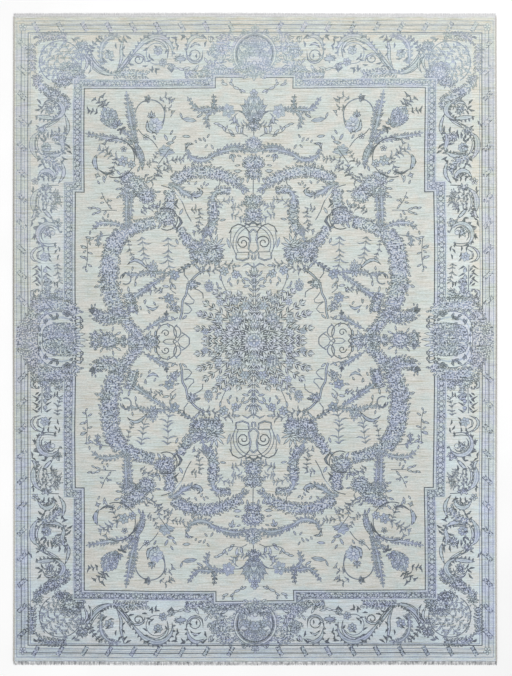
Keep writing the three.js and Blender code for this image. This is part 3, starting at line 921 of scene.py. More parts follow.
def knots_and_cords():
    """The looped cords at the side of the medallion and the bow beside them."""
    cord = [(49.1, 71.2), (56.7, 67.3), (62.1, 62), (66.3, 57.4), (67.1, 52.8), (68.2, 46.7), (71.3, 41.3),
            (72, 34.4), (72, 29.1), (74, 22)]
    stem(cord, 2.4, SKY, LINE, 3.2)
    stem([(66, 48.2), (62.9, 43.6), (60, 41.3), (60.6, 38.3), (64.4, 37.5), (69, 39)], 1.0, SLATE, SLATE, 3)
    stem([(69.8, 39), (64.4, 35), (62.1, 31.4), (65.2, 28.3), (70, 28)], 1.0, SLATE, SLATE, 3)
    stem([(66, 62), (70, 67), (69, 74)])
    plume([(57, 81), (64, 77), (70, 74), (76, 70)], 3.6, SLATE, LINE)
    stem([(76, 24), (84, 21), (94, 22), (104, 14), (110, 12)], 1.2, MIST, SLATE)
    plume([(107, 13), (100, 17), (92, 22), (86, 25)], 6, SKY)
    fan((88, 26), 100, 80, 3, 6, 2.4, SLATE)
    ring((87.3, 7.6), 10, 1.0, SLATE, LINE, -50, 280)
    curl((88, 8.4), 4.2, 0, 420, 1.0)
    stem([(91, 0), (88, 2.2), (80, 2.4), (76.6, 0)], 0.9, SLATE, SLATE, 3)
    stem([(76.6, 17), (80, 13), (79, 6), (76, 4), (73, 8), (74, 13), (78, 16)], 1.2, SLATE, SLATE, 3)
    stem([(72, 9), (68, 6.5), (64.5, 3), (64.3, 0)], 1.2, SLATE, SLATE, 3)
    stem([(76, 0), (74, 4), (69, 7)], 1.0, SLATE, SLATE, 3)
    scatter([(96, 12, 120, 6), (99, 5, 100, 7), (98, 0, 90, 5), (84, 14, 60, 6), (78, 21, 40, 7),
             (72, 22, 140, 7), (76, 28, 60, 6)])
    rosette((85, 43.4), 5.5, 6, BLUE)
    scatter([(90, 43, 10, 6), (80, 44, 200, 6), (86, 38, 280, 5), (92, 49, 60, 6), (84, 52, 110, 7),
             (78, 52, 60, 7), (84, 58, 90, 6), (92, 56, 190, 8), (76, 36, 250, 7), (80, 33, 200, 5)], MIST)
    stem([(82, 60), (84, 53), (78, 48)], 0.8)
    clump((80, 35), 4, 5, 141, SLATE)
    palmette((45.3, 56), 90, 13, 10, 3, SKY, SLATE)
    clump((62, 57), 5, 5, 142, SKY)
    lens((56, 58), 0.2, 6, 3.4, SLATE)
    stem([(60, 53), (55, 51), (51.5, 48), (51, 43)])
    leaf((48.5, 42), 4.5, 7, 2.6, SLATE)
    sprig([(56, 72), (48, 71), (42, 70), (36, 74), (30, 77), (22, 75)], 4.4, MIST, LINE, 4.5)
    rosette((30, 70), 5.0, 6, SKY)
    rosette((18.5, 66.5), 4.6, 6, SKY)
    scatter([(33, 60, 80, 7), (36, 54, 70, 6), (27, 58, 120, 7), (32, 52, 20, 6), (22, 54, 60, 6),
             (26, 50, 340, 7), (17, 56, 100, 6), (20, 75, 180, 7), (12, 62, 60, 7)])
    stem([(33, 62), (31, 56), (28, 50)], 0.8)
    plume([(0, 52), (0, 62), (0, 75)], 6, MIST, SLATE)
    crescent([(12, 74), (6, 77), (1, 73)], 2.0, MIST, SLATE)
    scatter([(5, 64, 60, 7), (4, 60, 20, 8), (4, 55, 350, 8), (9, 56, 60, 7)])


def medallion():
    """The wheel of leafy branches and small flowers at the middle of the rug."""
    disc((0, 0), 30, CREAM, CREAM, 24)
    for across, along, length in ((15, 43, 18), (13, 39.8, 13), (44, 2.4, 11)):
        lens((across, along), 0.02, length, 3.0, CREAM, LINE, 0.7)
    for angle, start, end, reach in (
        (3, 24, 46, 9), (13, 30, 55, 9), (27.4, 36, 58, 9.5), (38.4, 26, 58, 10), (52, 35, 60, 9.5),
        (62, 29, 51, 9), (73, 33, 47, 8.5), (20, 13, 40, 9), (47, 11, 27, 8), (7, 9, 21, 7),
        (69, 12, 25, 7.5), (84, 24, 38, 7), (33, 9, 26, 7.5), (58, 10, 30, 7.5), (89, 9, 15, 5.5),
    ):
        turn = math.radians(angle)
        way = [toward((0, 0), turn, start), toward((0, 0), turn + 0.03, (start + end) / 2),
               toward((0, 0), turn, end)]
        branch(way, reach, CREAM, 0.0, 5.8 + angle % 5 * 0.45, 3.4, 0.64, -0.1)
    branch([(1.2, 28), (1.2, 42), (1.2, 67)], 9, CREAM, SLATE * 0.6, 6.4, 3.0, 0.64, 0.2)
    clump((18.5, 21.5), 6.4, 6.4, 151, PALE, SLATE, 0.62)
    clump((20, 40), 4.2, 3.6, 152, PALE, SLATE, 0.62)
    for across, along, size, tone in (
        (9, 34.5, 4.6, SKY), (35.5, 22, 4.4, MIST), (34.5, 38.5, 4.0, MIST), (36, 8, 4.0, PALE),
        (48.5, 9.5, 3.6, SKY),
    ):
        rosette((across, along), size, 6, tone, SLATE, CREAM, along)
    palmette((0, 19.5), 90, 12, 14, 3, CREAM)
    for k in range(5):
        turn = math.radians(22.5 * k)
        leaf(toward((0, 0), turn, 7), turn + (0.6, -0.6)[k % 2], 5, 2.8, CREAM, LINE, 0.64)
    disc((0, 0), 7.4, BLUE, LINE, 14)
    for k in range(5):
        disc(toward((0, 0), math.radians(22.5 * k), 6.0), 1.2, CREAM, BLUE, 6, 0.4)
    rosette((0, 0), 4.6, 4, CREAM, LINE, SKY, 0)


def draw_chart():
    grounds()
    leaf_wreath()
    field_sprays()
    axis_stack()
    inner_foliage()
    strapwork()
    side_foliage()
    knots_and_cords()
    medallion()
    end_border()
    side_border()
    corner_roundel()
    guard_band()
    top_cartouche()
    straight_frames()
    ties()
    side_medallion()


# Cutting the chart into faces

TILES_ACROSS = 5
TILES_ALONG = 7
# Points that fall in the same one of this many steps of a square are one point
STEPS_PER_SQUARE = 500
# How the edge of the pile rounds over: how far in from the slab's side, and how high,
# in millimetres
PILE_SHOULDER = [(0.0, 5.8), (1.1, 7.8), (3.2, 8.8), (6.5, 9.0)]


def clipped(outline, axis, limit, keep_below):
    """The part of an outline on one side of a line parallel to an axis."""
    result = []
    sign = 1 if keep_below else -1
    for p, q in zip(outline, outline[1:] + outline[:1]):
        p_in = sign * (limit - p[axis]) >= 0
        q_in = sign * (limit - q[axis]) >= 0
        if p_in:
            result.append(p)
        if p_in != q_in:
            t = (limit - p[axis]) / (q[axis] - p[axis])
            cut = [p[0] + (q[0] - p[0]) * t, p[1] + (q[1] - p[1]) * t]
            cut[axis] = limit
            result.append(tuple(cut))
    return result


def turn_of(p, q, r):
    """Above zero where the way from p over q to r turns left."""
    return (q[0] - p[0]) * (r[1] - p[1]) - (q[1] - p[1]) * (r[0] - p[0])


def hull(outline):
    """The anticlockwise convex outline round the given points."""
    ordered = sorted(set(outline))
    sides = []
    for run in (ordered, ordered[::-1]):
        side = []
        for p in run:
            while len(side) > 1 and turn_of(side[-2], side[-1], p) <= 1e-4:
                side.pop()
            side.append(p)
        sides += side[:-1]
    return sides


def holds(outline, place):
    """Whether a convex outline has the place inside it."""
    return all(turn_of(p, q, place) > -1e-3 for p, q in zip(outline, outline[1:] + outline[:1]))


def cut_tile(outlines, low, high):
    """Triangles of one tile of the chart, with the shape that shows in each."""
    points = []
    faces = []
    pieces = []
    owners = []
    for owner, outline in outlines:
        piece = outline
        for axis in (1, 0):
            piece = clipped(piece, axis, low[axis], False)
            piece = clipped(piece, axis, high[axis], True)
        piece = hull(piece)
        if len(piece) < 3:
            continue
        faces.append(list(range(len(points), len(points) + len(piece))))
        points.extend(piece)
        pieces.append(piece)
        owners.append(owner)
    verts, _, triangles, _, _, sources = delaunay_2d_cdt([Vector(p) for p in points], [], faces, 1, 1e-4)
    kept = []
    for triangle, source in zip(triangles, sources):
        middle = [sum(verts[i][axis] for i in triangle) / 3 for axis in (0, 1)]
        shown = next((k for k in sorted(source, reverse=True) if holds(pieces[k], middle)), None)
        if shown is not None:
            kept.append((triangle, owners[shown]))
    return [(v.x, v.y) for v in verts], kept


def chart_mosaic():
    """The whole quarter as points, triangles and the shape that each triangle belongs to."""
    lines_a = [SLAB_ACROSS * k / TILES_ACROSS for k in range(TILES_ACROSS + 1)]
    lines_b = [SLAB_ALONG * k / TILES_ALONG for k in range(TILES_ALONG + 1)]
    boxes = []
    hulls = [hull(outline) for outline in chart.outlines]
    for outline in hulls:
        across = [p[0] for p in outline]
        along = [p[1] for p in outline]
        boxes.append((min(across), max(across), min(along), max(along)))
    places = {}
    points = []
    triangles = []
    owners = []
    for low_a, high_a in zip(lines_a, lines_a[1:]):
        for low_b, high_b in zip(lines_b, lines_b[1:]):
            inside = [
                (k, hulls[k]) for k, box in enumerate(boxes)
                if box[0] < high_a and box[1] > low_a and box[2] < high_b and box[3] > low_b
                and len(hulls[k]) > 2
            ]
            verts, kept = cut_tile(inside, (low_a, low_b), (high_a, high_b))
            index = []
            for v in verts:
                key = (round(v[0] * STEPS_PER_SQUARE), round(v[1] * STEPS_PER_SQUARE))
                if key not in places:
                    places[key] = len(points)
                    points.append(v)
                index.append(places[key])
            for triangle, owner in kept:
                corners = [index[i] for i in triangle]
                if len(set(corners)) == 3:
                    triangles.append(corners)
                    owners.append(owner)
    return np.array(points), np.array(triangles), np.array(owners)


def shoulder_rings():
    """Bands that give the mosaic the lines on which the edge of the pile rounds over."""
    for inset, _ in reversed(PILE_SHOULDER[1:]):
        offset = inset * MM / SQUARE
        across, along = SLAB_ACROSS - offset, SLAB_ALONG - offset
        inner = [(0, along), (across, along), (across, 0)]
        outer = [(0, SLAB_ALONG + 1), (SLAB_ACROSS + 1, SLAB_ALONG + 1), (SLAB_ACROSS + 1, 0)]
        for a, b, c, d in zip(inner, inner[1:], outer[1:], outer):
            patch([a, b, c, d], CREAM)


def lay_down(points):
    """Moves straight-built points to where the hand-made rug has them, in metres."""
    across = points[:, 0] / (RUG_WIDTH / 2)
    along = points[:, 1] / (PILE_LENGTH / 2)
    moved = points.copy()
    moved[:, 0] += across * 1.2 * MM * np.sin(2 * np.pi * points[:, 1] / 2.9 + 0.8)
    moved[:, 1] += along * 1.1 * MM * np.sin(2 * np.pi * points[:, 0] / 2.3 + 2.2)
    return moved


def hand_drift(x, y):
    """How far, in metres, the hand-tied pattern strays from its chart at each place."""
    fade_x = np.clip((SLAB_WIDTH / 2 - np.abs(x)) / 0.3, 0, 1)
    fade_y = np.clip((PILE_LENGTH / 2 - np.abs(y)) / 0.3, 0, 1)
    fade = (fade_x * fade_y) ** 0.7
    drift_x = 3.0 * np.sin(3.1 * y + 1.3) + 2.0 * np.sin(7.3 * y + 4.1 * x)
    drift_y = 3.0 * np.sin(2.7 * x + 0.4) + 2.2 * np.sin(6.1 * x - 3.7 * y + 2)
    # The field was tied a little off the middle of its borders
    settled = np.clip((1.25 - np.hypot(x, y * 0.72)) / 0.6, 0, 1)
    return (drift_x * fade - 8 * settled) * MM, (drift_y * fade - 11 * settled) * MM


def whole_pile(points, triangles, owners):
    """The four quarters as one surface: places in metres, triangles, and chart data of each corner."""
    shape_frames = np.array(chart.frames)
    shape_styles = np.array(chart.styles)
    corners = points[triangles]
    frames = shape_frames[owners][:, None, :]
    offset = corners - frames[..., 0:2]
    u = (offset * frames[..., 2:4]).sum(axis=2)
    v = (offset * frames[..., 4:6]).sum(axis=2)
    roundness = np.broadcast_to(frames[..., 6], u.shape)
    loc = np.stack([u, v, roundness], axis=2)
    tone = np.repeat(shape_styles[owners][:, None, :], 3, axis=1)
    middles = corners.mean(axis=1)

    all_places = []
    all_triangles = []
    all_loc = []
    all_tone = []
    all_middles = []
    for side, end in ((1, 1), (-1, 1), (-1, -1), (1, -1)):
        order = [0, 1, 2] if side * end > 0 else [0, 2, 1]
        all_triangles.append(triangles[:, order] + len(points) * len(all_places))
        all_places.append(points * (side, end))
        all_loc.append(loc[:, order])
        all_tone.append(tone[:, order])
        all_middles.append(middles)
    places = np.concatenate(all_places)
    keys = np.round(places * STEPS_PER_SQUARE).astype(np.int64)
    _, first, same = np.unique(keys, axis=0, return_index=True, return_inverse=True)
    places = places[first] * SQUARE
    joined = same.reshape(-1)[np.concatenate(all_triangles)]
    loc, tone, middles = (np.concatenate(parts) for parts in (all_loc, all_tone, all_middles))

    inset = np.minimum(SLAB_WIDTH / 2 - np.abs(places[:, 0]), PILE_LENGTH / 2 - np.abs(places[:, 1])) / MM
    height = np.interp(inset, [row[0] for row in PILE_SHOULDER], [row[1] for row in PILE_SHOULDER]) * MM
    drift_x, drift_y = hand_drift(places[:, 0], places[:, 1])
    flat = lay_down(places + np.stack([drift_x, drift_y], axis=1))
    return np.column_stack([flat, height]), joined, loc, tone, middles


def inside_outline(places, outline):
    """Which places lie inside a stepped outline of the quarter chart."""
    inside = np.zeros(len(places), bool)
    ring_points = [(0, 0)] + outline[::-1]
    for p, q in zip(ring_points, ring_points[1:] + ring_points[:1]):
        crosses = (p[1] > places[:, 1]) != (q[1] > places[:, 1])
        if q[1] != p[1]:
            at = p[0] + (places[:, 1] - p[1]) * (q[0] - p[0]) / (q[1] - p[1])
            inside ^= crosses & (places[:, 0] < at)
    return inside


def lifted(places):
    """Places laid down as the hand-made rug has them, at their own heights."""
    places = np.array(places)
    return np.column_stack([lay_down(places[:, :2]), places[:, 2]])


def new_piece(name, places, faces, material, nodes=()):
    """A mesh piece that rides on the rug's only body."""
    mesh = bpy.data.meshes.new(name)
    mesh.from_pydata([tuple(p) for p in places], [], [tuple(f) for f in faces])
    mesh.update()
    piece = bpy.data.objects.new(name, mesh)
    bpy.context.scene.collection.objects.link(piece)
    mesh.materials.append(material)
    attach(piece, "root")
    if nodes:
        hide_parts(*nodes)
    return piece


def flat_uv(mesh):
    """Lays the bake image flat over the piece, as seen from above."""
    layer = mesh.uv_layers.new(name="OFBake")
    loops = np.zeros(len(mesh.loops), np.int32)
    mesh.loops.foreach_get("vertex_index", loops)
    places = np.zeros(len(mesh.vertices) * 3)
    mesh.vertices.foreach_get("co", places)
    places = places.reshape(-1, 3)
    low, high = places.min(axis=0), places.max(axis=0)
    margin = 0.002
    uv = margin + (1 - 2 * margin) * ((places - low) / (high - low))[:, :2]
    layer.data.foreach_set("uv", uv[loops].reshape(-1))


def pile_piece(name, surface, chosen, material):
    """One piece of the pile: its part of the mosaic, and a skirt down to the foundation."""
    places, triangles, loc, tone, _ = surface
    triangles, loc, tone = triangles[chosen], loc[chosen], tone[chosen]
    used, compact = np.unique(triangles, return_inverse=True)
    triangles = compact.reshape(-1, 3)
    top = places[used]

    edges = {}
    for a, b, c in triangles.tolist():
        for start, end in ((a, b), (b, c), (c, a)):
            if (end, start) in edges:
                del edges[(end, start)]
            else:
                edges[(start, end)] = True
    rim = sorted({i for edge in edges for i in edge})
    below = {i: len(top) + k for k, i in enumerate(rim)}
    bottom = top[rim].copy()
    bottom[:, 2] = FOUNDATION_HEIGHT
    skirt = []
    for start, end in edges:
        skirt.append((end, start, below[start]))
        skirt.append((end, below[start], below[end]))
    faces = triangles.tolist() + skirt
    piece = new_piece(name, np.concatenate([top, bottom]), faces, material)
    mesh = piece.data
    spare = len(skirt) * 3
    for layer, values, fill in (("loc", loc, (0, 0, 0)), ("tone", tone, (CREAM, CREAM, 1))):
        attribute = mesh.attributes.new(layer, "FLOAT_VECTOR", "CORNER")
        rest = np.tile(np.array(fill, float), (spare, 1))
        attribute.data.foreach_set("vector", np.concatenate([values.reshape(-1, 3), rest]).reshape(-1))
    flat_uv(mesh)
    return piece


# Materials


def srgb(red, green, blue):
    """A colour as seen on a screen, from 0 to 255, in the renderer's own scale."""
    parts = (part / 255 for part in (red, green, blue))
    linear = [part / 12.92 if part <= 0.04045 else ((part + 0.055) / 1.055) ** 2.4 for part in parts]
    return (*linear, 1.0)


class Shader:
    """A material being built: each call adds a node and gives its output."""

    def __init__(self, name):
        self.material = bpy.data.materials.new(name)
        self.material.use_nodes = True
        self.tree = self.material.node_tree
        self.surface = self.tree.nodes["Principled BSDF"]

    def feed(self, node, index, value):
        if value is None:
            return
        if hasattr(value, "is_output"):
            self.tree.links.new(value, node.inputs[index])
        else:
            node.inputs[index].default_value = value

    def math(self, operation, first, second=None, third=None):
        node = self.tree.nodes.new("ShaderNodeMath")
        node.operation = operation
        for index, value in enumerate((first, second, third)):
            self.feed(node, index, value)
        return node.outputs[0]

    def times(self, first, second):
        return self.math("MULTIPLY", first, second)

    def onto(self, value, factor, base):
        """The base plus the value times the factor."""
        return self.math("MULTIPLY_ADD", value, factor, base)

    def parts(self, vector):
        split = self.tree.nodes.new("ShaderNodeSeparateXYZ")
        self.tree.links.new(vector, split.inputs[0])
        return split.outputs

    def attribute(self, name):
        node = self.tree.nodes.new("ShaderNodeAttribute")
        node.attribute_name = name
        return self.parts(node.outputs["Vector"])

    def place(self, scale=(1, 1, 1)):
        """Where a point lies on the piece, stretched along each axis."""
        coordinates = self.tree.nodes.new("ShaderNodeTexCoord")
        mapping = self.tree.nodes.new("ShaderNodeMapping")
        mapping.inputs["Scale"].default_value = scale
        self.tree.links.new(coordinates.outputs["Object"], mapping.inputs["Vector"])
        return mapping.outputs[0]

    def noise(self, scale, detail=2.0, roughness=0.5):
        node = self.tree.nodes.new("ShaderNodeTexNoise")
        self.tree.links.new(self.place(scale), node.inputs["Vector"])
        node.inputs["Scale"].default_value = 1.0
        node.inputs["Detail"].default_value = detail
        node.inputs["Roughness"].default_value = roughness
        return node.outputs["Fac"]

    def about_zero(self, scale, detail=2.0, roughness=0.5):
        return self.math("SUBTRACT", self.noise(scale, detail, roughness), 0.5)

    def cell_tones(self, scale):
        """A tone of its own, from 0 to 1, for each cell of a mosaic of small uneven cells."""
        node = self.tree.nodes.new("ShaderNodeTexVoronoi")
        node.voronoi_dimensions = "2D"
        node.inputs["Scale"].default_value = scale
        split = self.tree.nodes.new("ShaderNodeSeparateColor")
        self.tree.links.new(self.place(), node.inputs["Vector"])
        self.tree.links.new(node.outputs["Color"], split.inputs[0])
        return split.outputs[0]

    def between(self, value, low, high, low_out=0.0, high_out=1.0):
        node = self.tree.nodes.new("ShaderNodeMapRange")
        node.interpolation_type = "SMOOTHSTEP"
        for index, given in enumerate((value, low, high, low_out, high_out)):
            self.feed(node, index, given)
        return node.outputs[0]

    def ramp(self, value, stops):
        node = self.tree.nodes.new("ShaderNodeValToRGB")
        self.tree.links.new(value, node.inputs[0])
        elements = node.color_ramp.elements
        while len(elements) < len(stops):
            elements.new(0.5)
        for element, (position, colour) in zip(elements, stops):
            element.position = position
            element.color = srgb(*colour)
        return node.outputs[0]

    def blend(self, kind, share, first, second):
        node = self.tree.nodes.new("ShaderNodeMix")
        node.data_type = "RGBA"
        node.blend_type = kind
        for index, value in ((0, share), (6, first), (7, second)):
            self.feed(node, index, value)
        return node.outputs[2]

    def bump(self, height, strength, distance):
        node = self.tree.nodes.new("ShaderNodeBump")
        node.inputs["Strength"].default_value = strength
        node.inputs["Distance"].default_value = distance
        self.tree.links.new(height, node.inputs["Height"])
        self.tree.links.new(node.outputs[0], self.surface.inputs["Normal"])

    def finish(self, colour, roughness, sheen=0.0):
        self.feed(self.surface, "Base Color", colour)
        self.feed(self.surface, "Roughness", roughness)
        self.surface.inputs["Specular IOR Level"].default_value = 0.25
        self.surface.inputs["Sheen Weight"].default_value = sheen
        return self.material


# What each tone looks like at the lighter far end and at the deeper near end
FAR_STOPS = [
    (0.0, (93, 99, 102)), (0.15, (122, 128, 131)), (0.34, (147, 159, 171)), (0.48, (165, 177, 189)),
    (0.60, (178, 189, 198)), (0.72, (191, 200, 205)), (0.88, (211, 217, 220)), (0.93, (209, 215, 213)),
    (1.0, (206, 209, 205)),
]
NEAR_STOPS = [
    (0.0, (86, 92, 99)), (0.15, (110, 117, 126)), (0.34, (133, 143, 162)), (0.48, (149, 160, 181)),
    (0.60, (164, 175, 192)), (0.72, (179, 189, 200)), (0.88, (202, 210, 216)), (0.93, (197, 206, 210)),
    (1.0, (199, 202, 199)),
]


# Soft changes over the rug: between which two places, in metres across or along
# from its middle, and from what to what
LEAFY_NEAR_HALF = (0.7, -0.7, 0.0, -0.06)
LEAFY_NEAR_END = (-1.2, -1.4, 0.0, -0.08)
WASHED_FAR_END = (1.2, 1.6, 0.0, 0.27)
BELOW_FAR_END = (1.2, 1.6, 1.0, 0.0)
LEFT_BORDER = (-1.02, -1.10)
LEFT_BORDER_RISE = (-0.5, 0.9, 0.0, 0.24)
NEAR_BORDER = (-1.35, -1.5)
NEAR_BORDER_TONE = (-1.3, -1.6, 0.0, -0.04)
FAR_TO_NEAR = (1.7, -1.7)
# Painted shade on the left side and painted light on the right side, standing in for light that falls more
# strongly from the right
PAINTED_LEFT_SHADE = (-0.55, -1.1, 0.0, -0.06)
PAINTED_LEFT_SHADE_REACH = (1.1, 1.5, 1.0, 0.0)
PAINTED_RIGHT_LIGHT = (0.9, 1.15, 0.0, 0.10)
PAINTED_RIGHT_LIGHT_REACH = (0.3, 1.1, 1.0, 0.0)
END_SHADE = (0.85, 1.15, 0.0, -0.02)
NEAR_FRAME_SHADE = (-1.665, -1.70, 0.0, -0.05)
SIDE_FRAME = (1.225, 1.235)
END_FRAME = (1.68, 1.69)
FAR_FRAME_REACH = (-0.3, -1.0, 1.0, 0.0)
SIDE_FRAME_LIGHT = (1.225, 1.235, 1.0, 1.04)
# Where the painted shadow on the cord's outer side sets in, across from the middle
CORD_OUTER_EDGE = (1.3682, 1.3702)

# Noises of the pile: how many times a metre across, along and up, detail, roughness
LEAF_NOISE = ((112, 112, 1), 0.0)
LEAF_CELLS = 122.0
SPECKLE_NOISE = ((200, 260, 1), 2.0, 0.7)
PATCH_NOISE = ((42, 42, 1), 2.0, 0.6)
DRIFT_NOISE = ((7, 9, 1), 3.0, 0.6)
NEARNESS_NOISE = ((2.2, 1.6, 1), 2.0)
SLOW_HUE_NOISE = ((7, 11, 1), 3.0, 0.6)
FAST_HUE_NOISE = ((50, 80, 1), 2.0, 0.6)
STREAK_NOISE = ((5, 165, 1), 3.0, 0.65)
KNOT_NOISE = ((85, 175, 1), 3.0, 0.7)
ROW_NOISE = ((12, 180, 2), 2.0, 0.6)
TUFT_NOISE = ((420, 420, 420), 2.0, 0.6)

# Tints that the hue noise runs between, in the yarn of the motifs and the plain wool
YARN_TINTS = [(0.60, (249, 252, 246)), (0.95, (247, 246, 255))]
WOOL_TINTS = [(0.60, (255, 250, 246)), (0.95, (246, 252, 252))]
STREAK_COLOUR = (214, 210, 190)
FRAME_TINT = (255, 251, 245)


def drawn_share(shader, rim):
    """How far each place takes the edge tone of its motif: in its outline and a leaf's vein."""
    u, v, roundness = shader.attribute("loc")
    off_line = shader.math("ABSOLUTE", v)
    rounder = shader.math("SUBTRACT", shader.times(v, v), off_line)
    bent = shader.math("ADD", off_line, shader.times(roundness, rounder))
    reach = shader.onto(u, u, bent)
    outline = shader.between(reach, shader.math("SUBTRACT", rim, 0.06), shader.math("ADD", rim, 0.10))
    vein = shader.times(shader.between(off_line, 0.08, 0.2, 0.4, 0.0), shader.between(rim, 0.6, 0.72))
    return shader.math("MAXIMUM", outline, shader.times(vein, shader.math("SUBTRACT", 1.0, roundness)))


def leafy_tone(shader, tone, leafy, y):
    """Adds the tiny leaves of a leafy mass, which is deeper towards the near end."""
    leaves = shader.between(shader.noise(*LEAF_NOISE), 0.42, 0.58, -0.34, 0.24)
    cells = shader.math("SUBTRACT", shader.cell_tones(LEAF_CELLS), 0.46)
    tone = shader.onto(leafy, shader.onto(cells, 0.56, leaves), tone)
    for change in (LEAFY_NEAR_HALF, LEAFY_NEAR_END):
        tone = shader.onto(leafy, shader.between(y, *change), tone)
    return tone


def uneven_tone(shader, tone, plain):
    """Adds the speckle, patches and slow drift of hand-spun wool, weaker on plain ground."""
    speckle = shader.about_zero(*SPECKLE_NOISE)
    tone = shader.onto(speckle, shader.onto(plain, -0.45, 0.95), tone)
    patches = shader.about_zero(*PATCH_NOISE)
    tone = shader.onto(patches, shader.onto(plain, -0.35, 0.4), tone)
    return shader.onto(shader.about_zero(*DRIFT_NOISE), 0.10, tone)


def faded_tone(shader, tone, plain, x, y):
    """Pales the far end and the left border, and deepens the near one."""
    washed = shader.between(y, *WASHED_FAR_END)
    paler = shader.math("MAXIMUM", shader.math("SUBTRACT", 0.92, tone), 0.0)
    left_side = shader.times(shader.between(x, *LEFT_BORDER), shader.between(y, *BELOW_FAR_END))
    above = shader.times(left_side, shader.between(y, *LEFT_BORDER_RISE))
    tone = shader.onto(shader.math("MAXIMUM", washed, above), paler, tone)
    bluer = shader.math("MAXIMUM", left_side, shader.between(y, *NEAR_BORDER))
    tone = shader.onto(shader.times(bluer, plain), -0.05, tone)
    return shader.math("ADD", tone, shader.between(y, *NEAR_BORDER_TONE))


def tinted(shader, colour, leafy, plain):
    """Tints the wool by a hue that wanders over the rug, with darker straw streaks across it."""
    hue = shader.onto(shader.noise(*SLOW_HUE_NOISE), 1.7, -0.25)
    hue = shader.onto(shader.noise(*FAST_HUE_NOISE), 0.35, hue)
    hue = shader.onto(leafy, 0.06, hue)
    tint = shader.blend("MIX", plain, shader.ramp(hue, YARN_TINTS), shader.ramp(hue, WOOL_TINTS))
    colour = shader.blend("MULTIPLY", 1.0, colour, tint)
    streaks = shader.between(shader.noise(*STREAK_NOISE), 0.52, 0.68)
    return shader.blend("MULTIPLY", shader.times(streaks, 0.7), colour, srgb(*STREAK_COLOUR))


def shaded(shader, colour, x, y):
    """Shades the wool by its knots and rows, and by where it lies on the rug, with painted shade on its left
    side and painted light on its right side for light that falls more strongly from the right.
    """
    grain = shader.math("ADD", shader.noise(*KNOT_NOISE), shader.noise(*ROW_NOISE))
    shade = shader.onto(shader.math("SUBTRACT", grain, 1.0), 0.8, 1.05)
    # Painted shade on the left and painted light on the right, for light that falls more strongly from the
    # right
    painted_left_shade = shader.times(shader.between(x, *PAINTED_LEFT_SHADE), shader.between(y, *PAINTED_LEFT_SHADE_REACH))
    painted_right_light = shader.times(shader.between(x, *PAINTED_RIGHT_LIGHT), shader.between(y, *PAINTED_RIGHT_LIGHT_REACH))
    outward, endward = shader.math("ABSOLUTE", x), shader.math("ABSOLUTE", y)
    ends = shader.math("ADD", shader.between(endward, *END_SHADE), shader.between(y, *NEAR_FRAME_SHADE))
    shade = shader.math("ADD", shade, shader.math("ADD", painted_left_shade, painted_right_light))
    shade = shader.math("ADD", shade, ends)
    colour = shader.blend("MULTIPLY", 1.0, colour, shade)
    on_frame = shader.math("MAXIMUM", shader.between(outward, *SIDE_FRAME),
                           shader.between(endward, *END_FRAME))
    far_frame = shader.times(on_frame, shader.between(y, *FAR_FRAME_REACH))
    colour = shader.blend("MULTIPLY", far_frame, colour, srgb(*FRAME_TINT))
    return shader.blend("MULTIPLY", 1.0, colour, shader.between(outward, *SIDE_FRAME_LIGHT))


def pile_material():
    """Wool pile whose colour follows the tones of the chart."""
    shader = Shader("wool_pile")
    fill, edge, rim = shader.attribute("tone")
    x, y, _ = shader.parts(shader.place())
    leafy = shader.math("GREATER_THAN", fill, LEAFY - 0.5)
    plain = shader.between(shader.onto(leafy, -LEAFY, fill), 0.895, 0.92)
    tone = shader.onto(drawn_share(shader, rim), shader.math("SUBTRACT", edge, fill), fill)
    tone = shader.onto(leafy, -LEAFY, tone)
    tone = leafy_tone(shader, tone, leafy, y)
    tone = uneven_tone(shader, tone, plain)
    tone = faded_tone(shader, tone, plain, x, y)
    near = shader.onto(shader.about_zero(*NEARNESS_NOISE), 0.9, shader.between(y, *FAR_TO_NEAR))
    colour = shader.blend("MIX", near, shader.ramp(tone, FAR_STOPS), shader.ramp(tone, NEAR_STOPS))
    colour = tinted(shader, colour, leafy, plain)
    colour = shaded(shader, colour, x, y)
    shader.bump(shader.noise(*TUFT_NOISE), 0.35, 1.2 * MM)
    return shader.finish(colour, 0.94, 0.12)


def spun(shader, colour):
    """Finishes a yarn's material with its fine fuzz."""
    shader.bump(shader.noise((900, 900, 900), 2.0, 0.6), 0.3, 0.6 * MM)
    return shader.finish(colour, 0.92, 0.1)


def yarn_material(name, dark, light, scale):
    """Twisted yarn: streaky along the piece and fluffy across it; on the near warps its dark streaks are
    painted shadow between the strands.
    """
    shader = Shader(name)
    tone = shader.noise(scale, 3.0, 0.6)
    return spun(shader, shader.ramp(tone, [(0.3, dark), (0.7, light)]))


def cord_material():
    """The cord's ivory yarn, with painted shadow along the rug's outer edge, on the side of the cord that
    turns away from the light.
    """
    shader = Shader("selvedge_yarn")
    tone = shader.noise((300, 60, 300), 3.0, 0.6)
    x = shader.parts(shader.place())[0]
    # Painted shadow: the cord's outer side is darkened where it turns away from the light
    outer = shader.between(shader.math("ABSOLUTE", x), *CORD_OUTER_EDGE)
    lit_yarn = shader.ramp(tone, [(0.3, (196, 193, 186)), (0.7, (226, 222, 214))])
    painted_shadow = shader.ramp(tone, [(0.3, (66, 64, 62)), (0.7, (104, 101, 96))])
    return spun(shader, shader.blend("MIX", outer, lit_yarn, painted_shadow))


def floor_material():
    shader = Shader("studio_floor")
    tone = shader.noise((3, 3, 3), 2.0)
    colour = shader.ramp(tone, [(0.3, (250, 250, 250)), (0.7, (253, 253, 253))])
    return shader.finish(colour, 0.8)


# Pieces


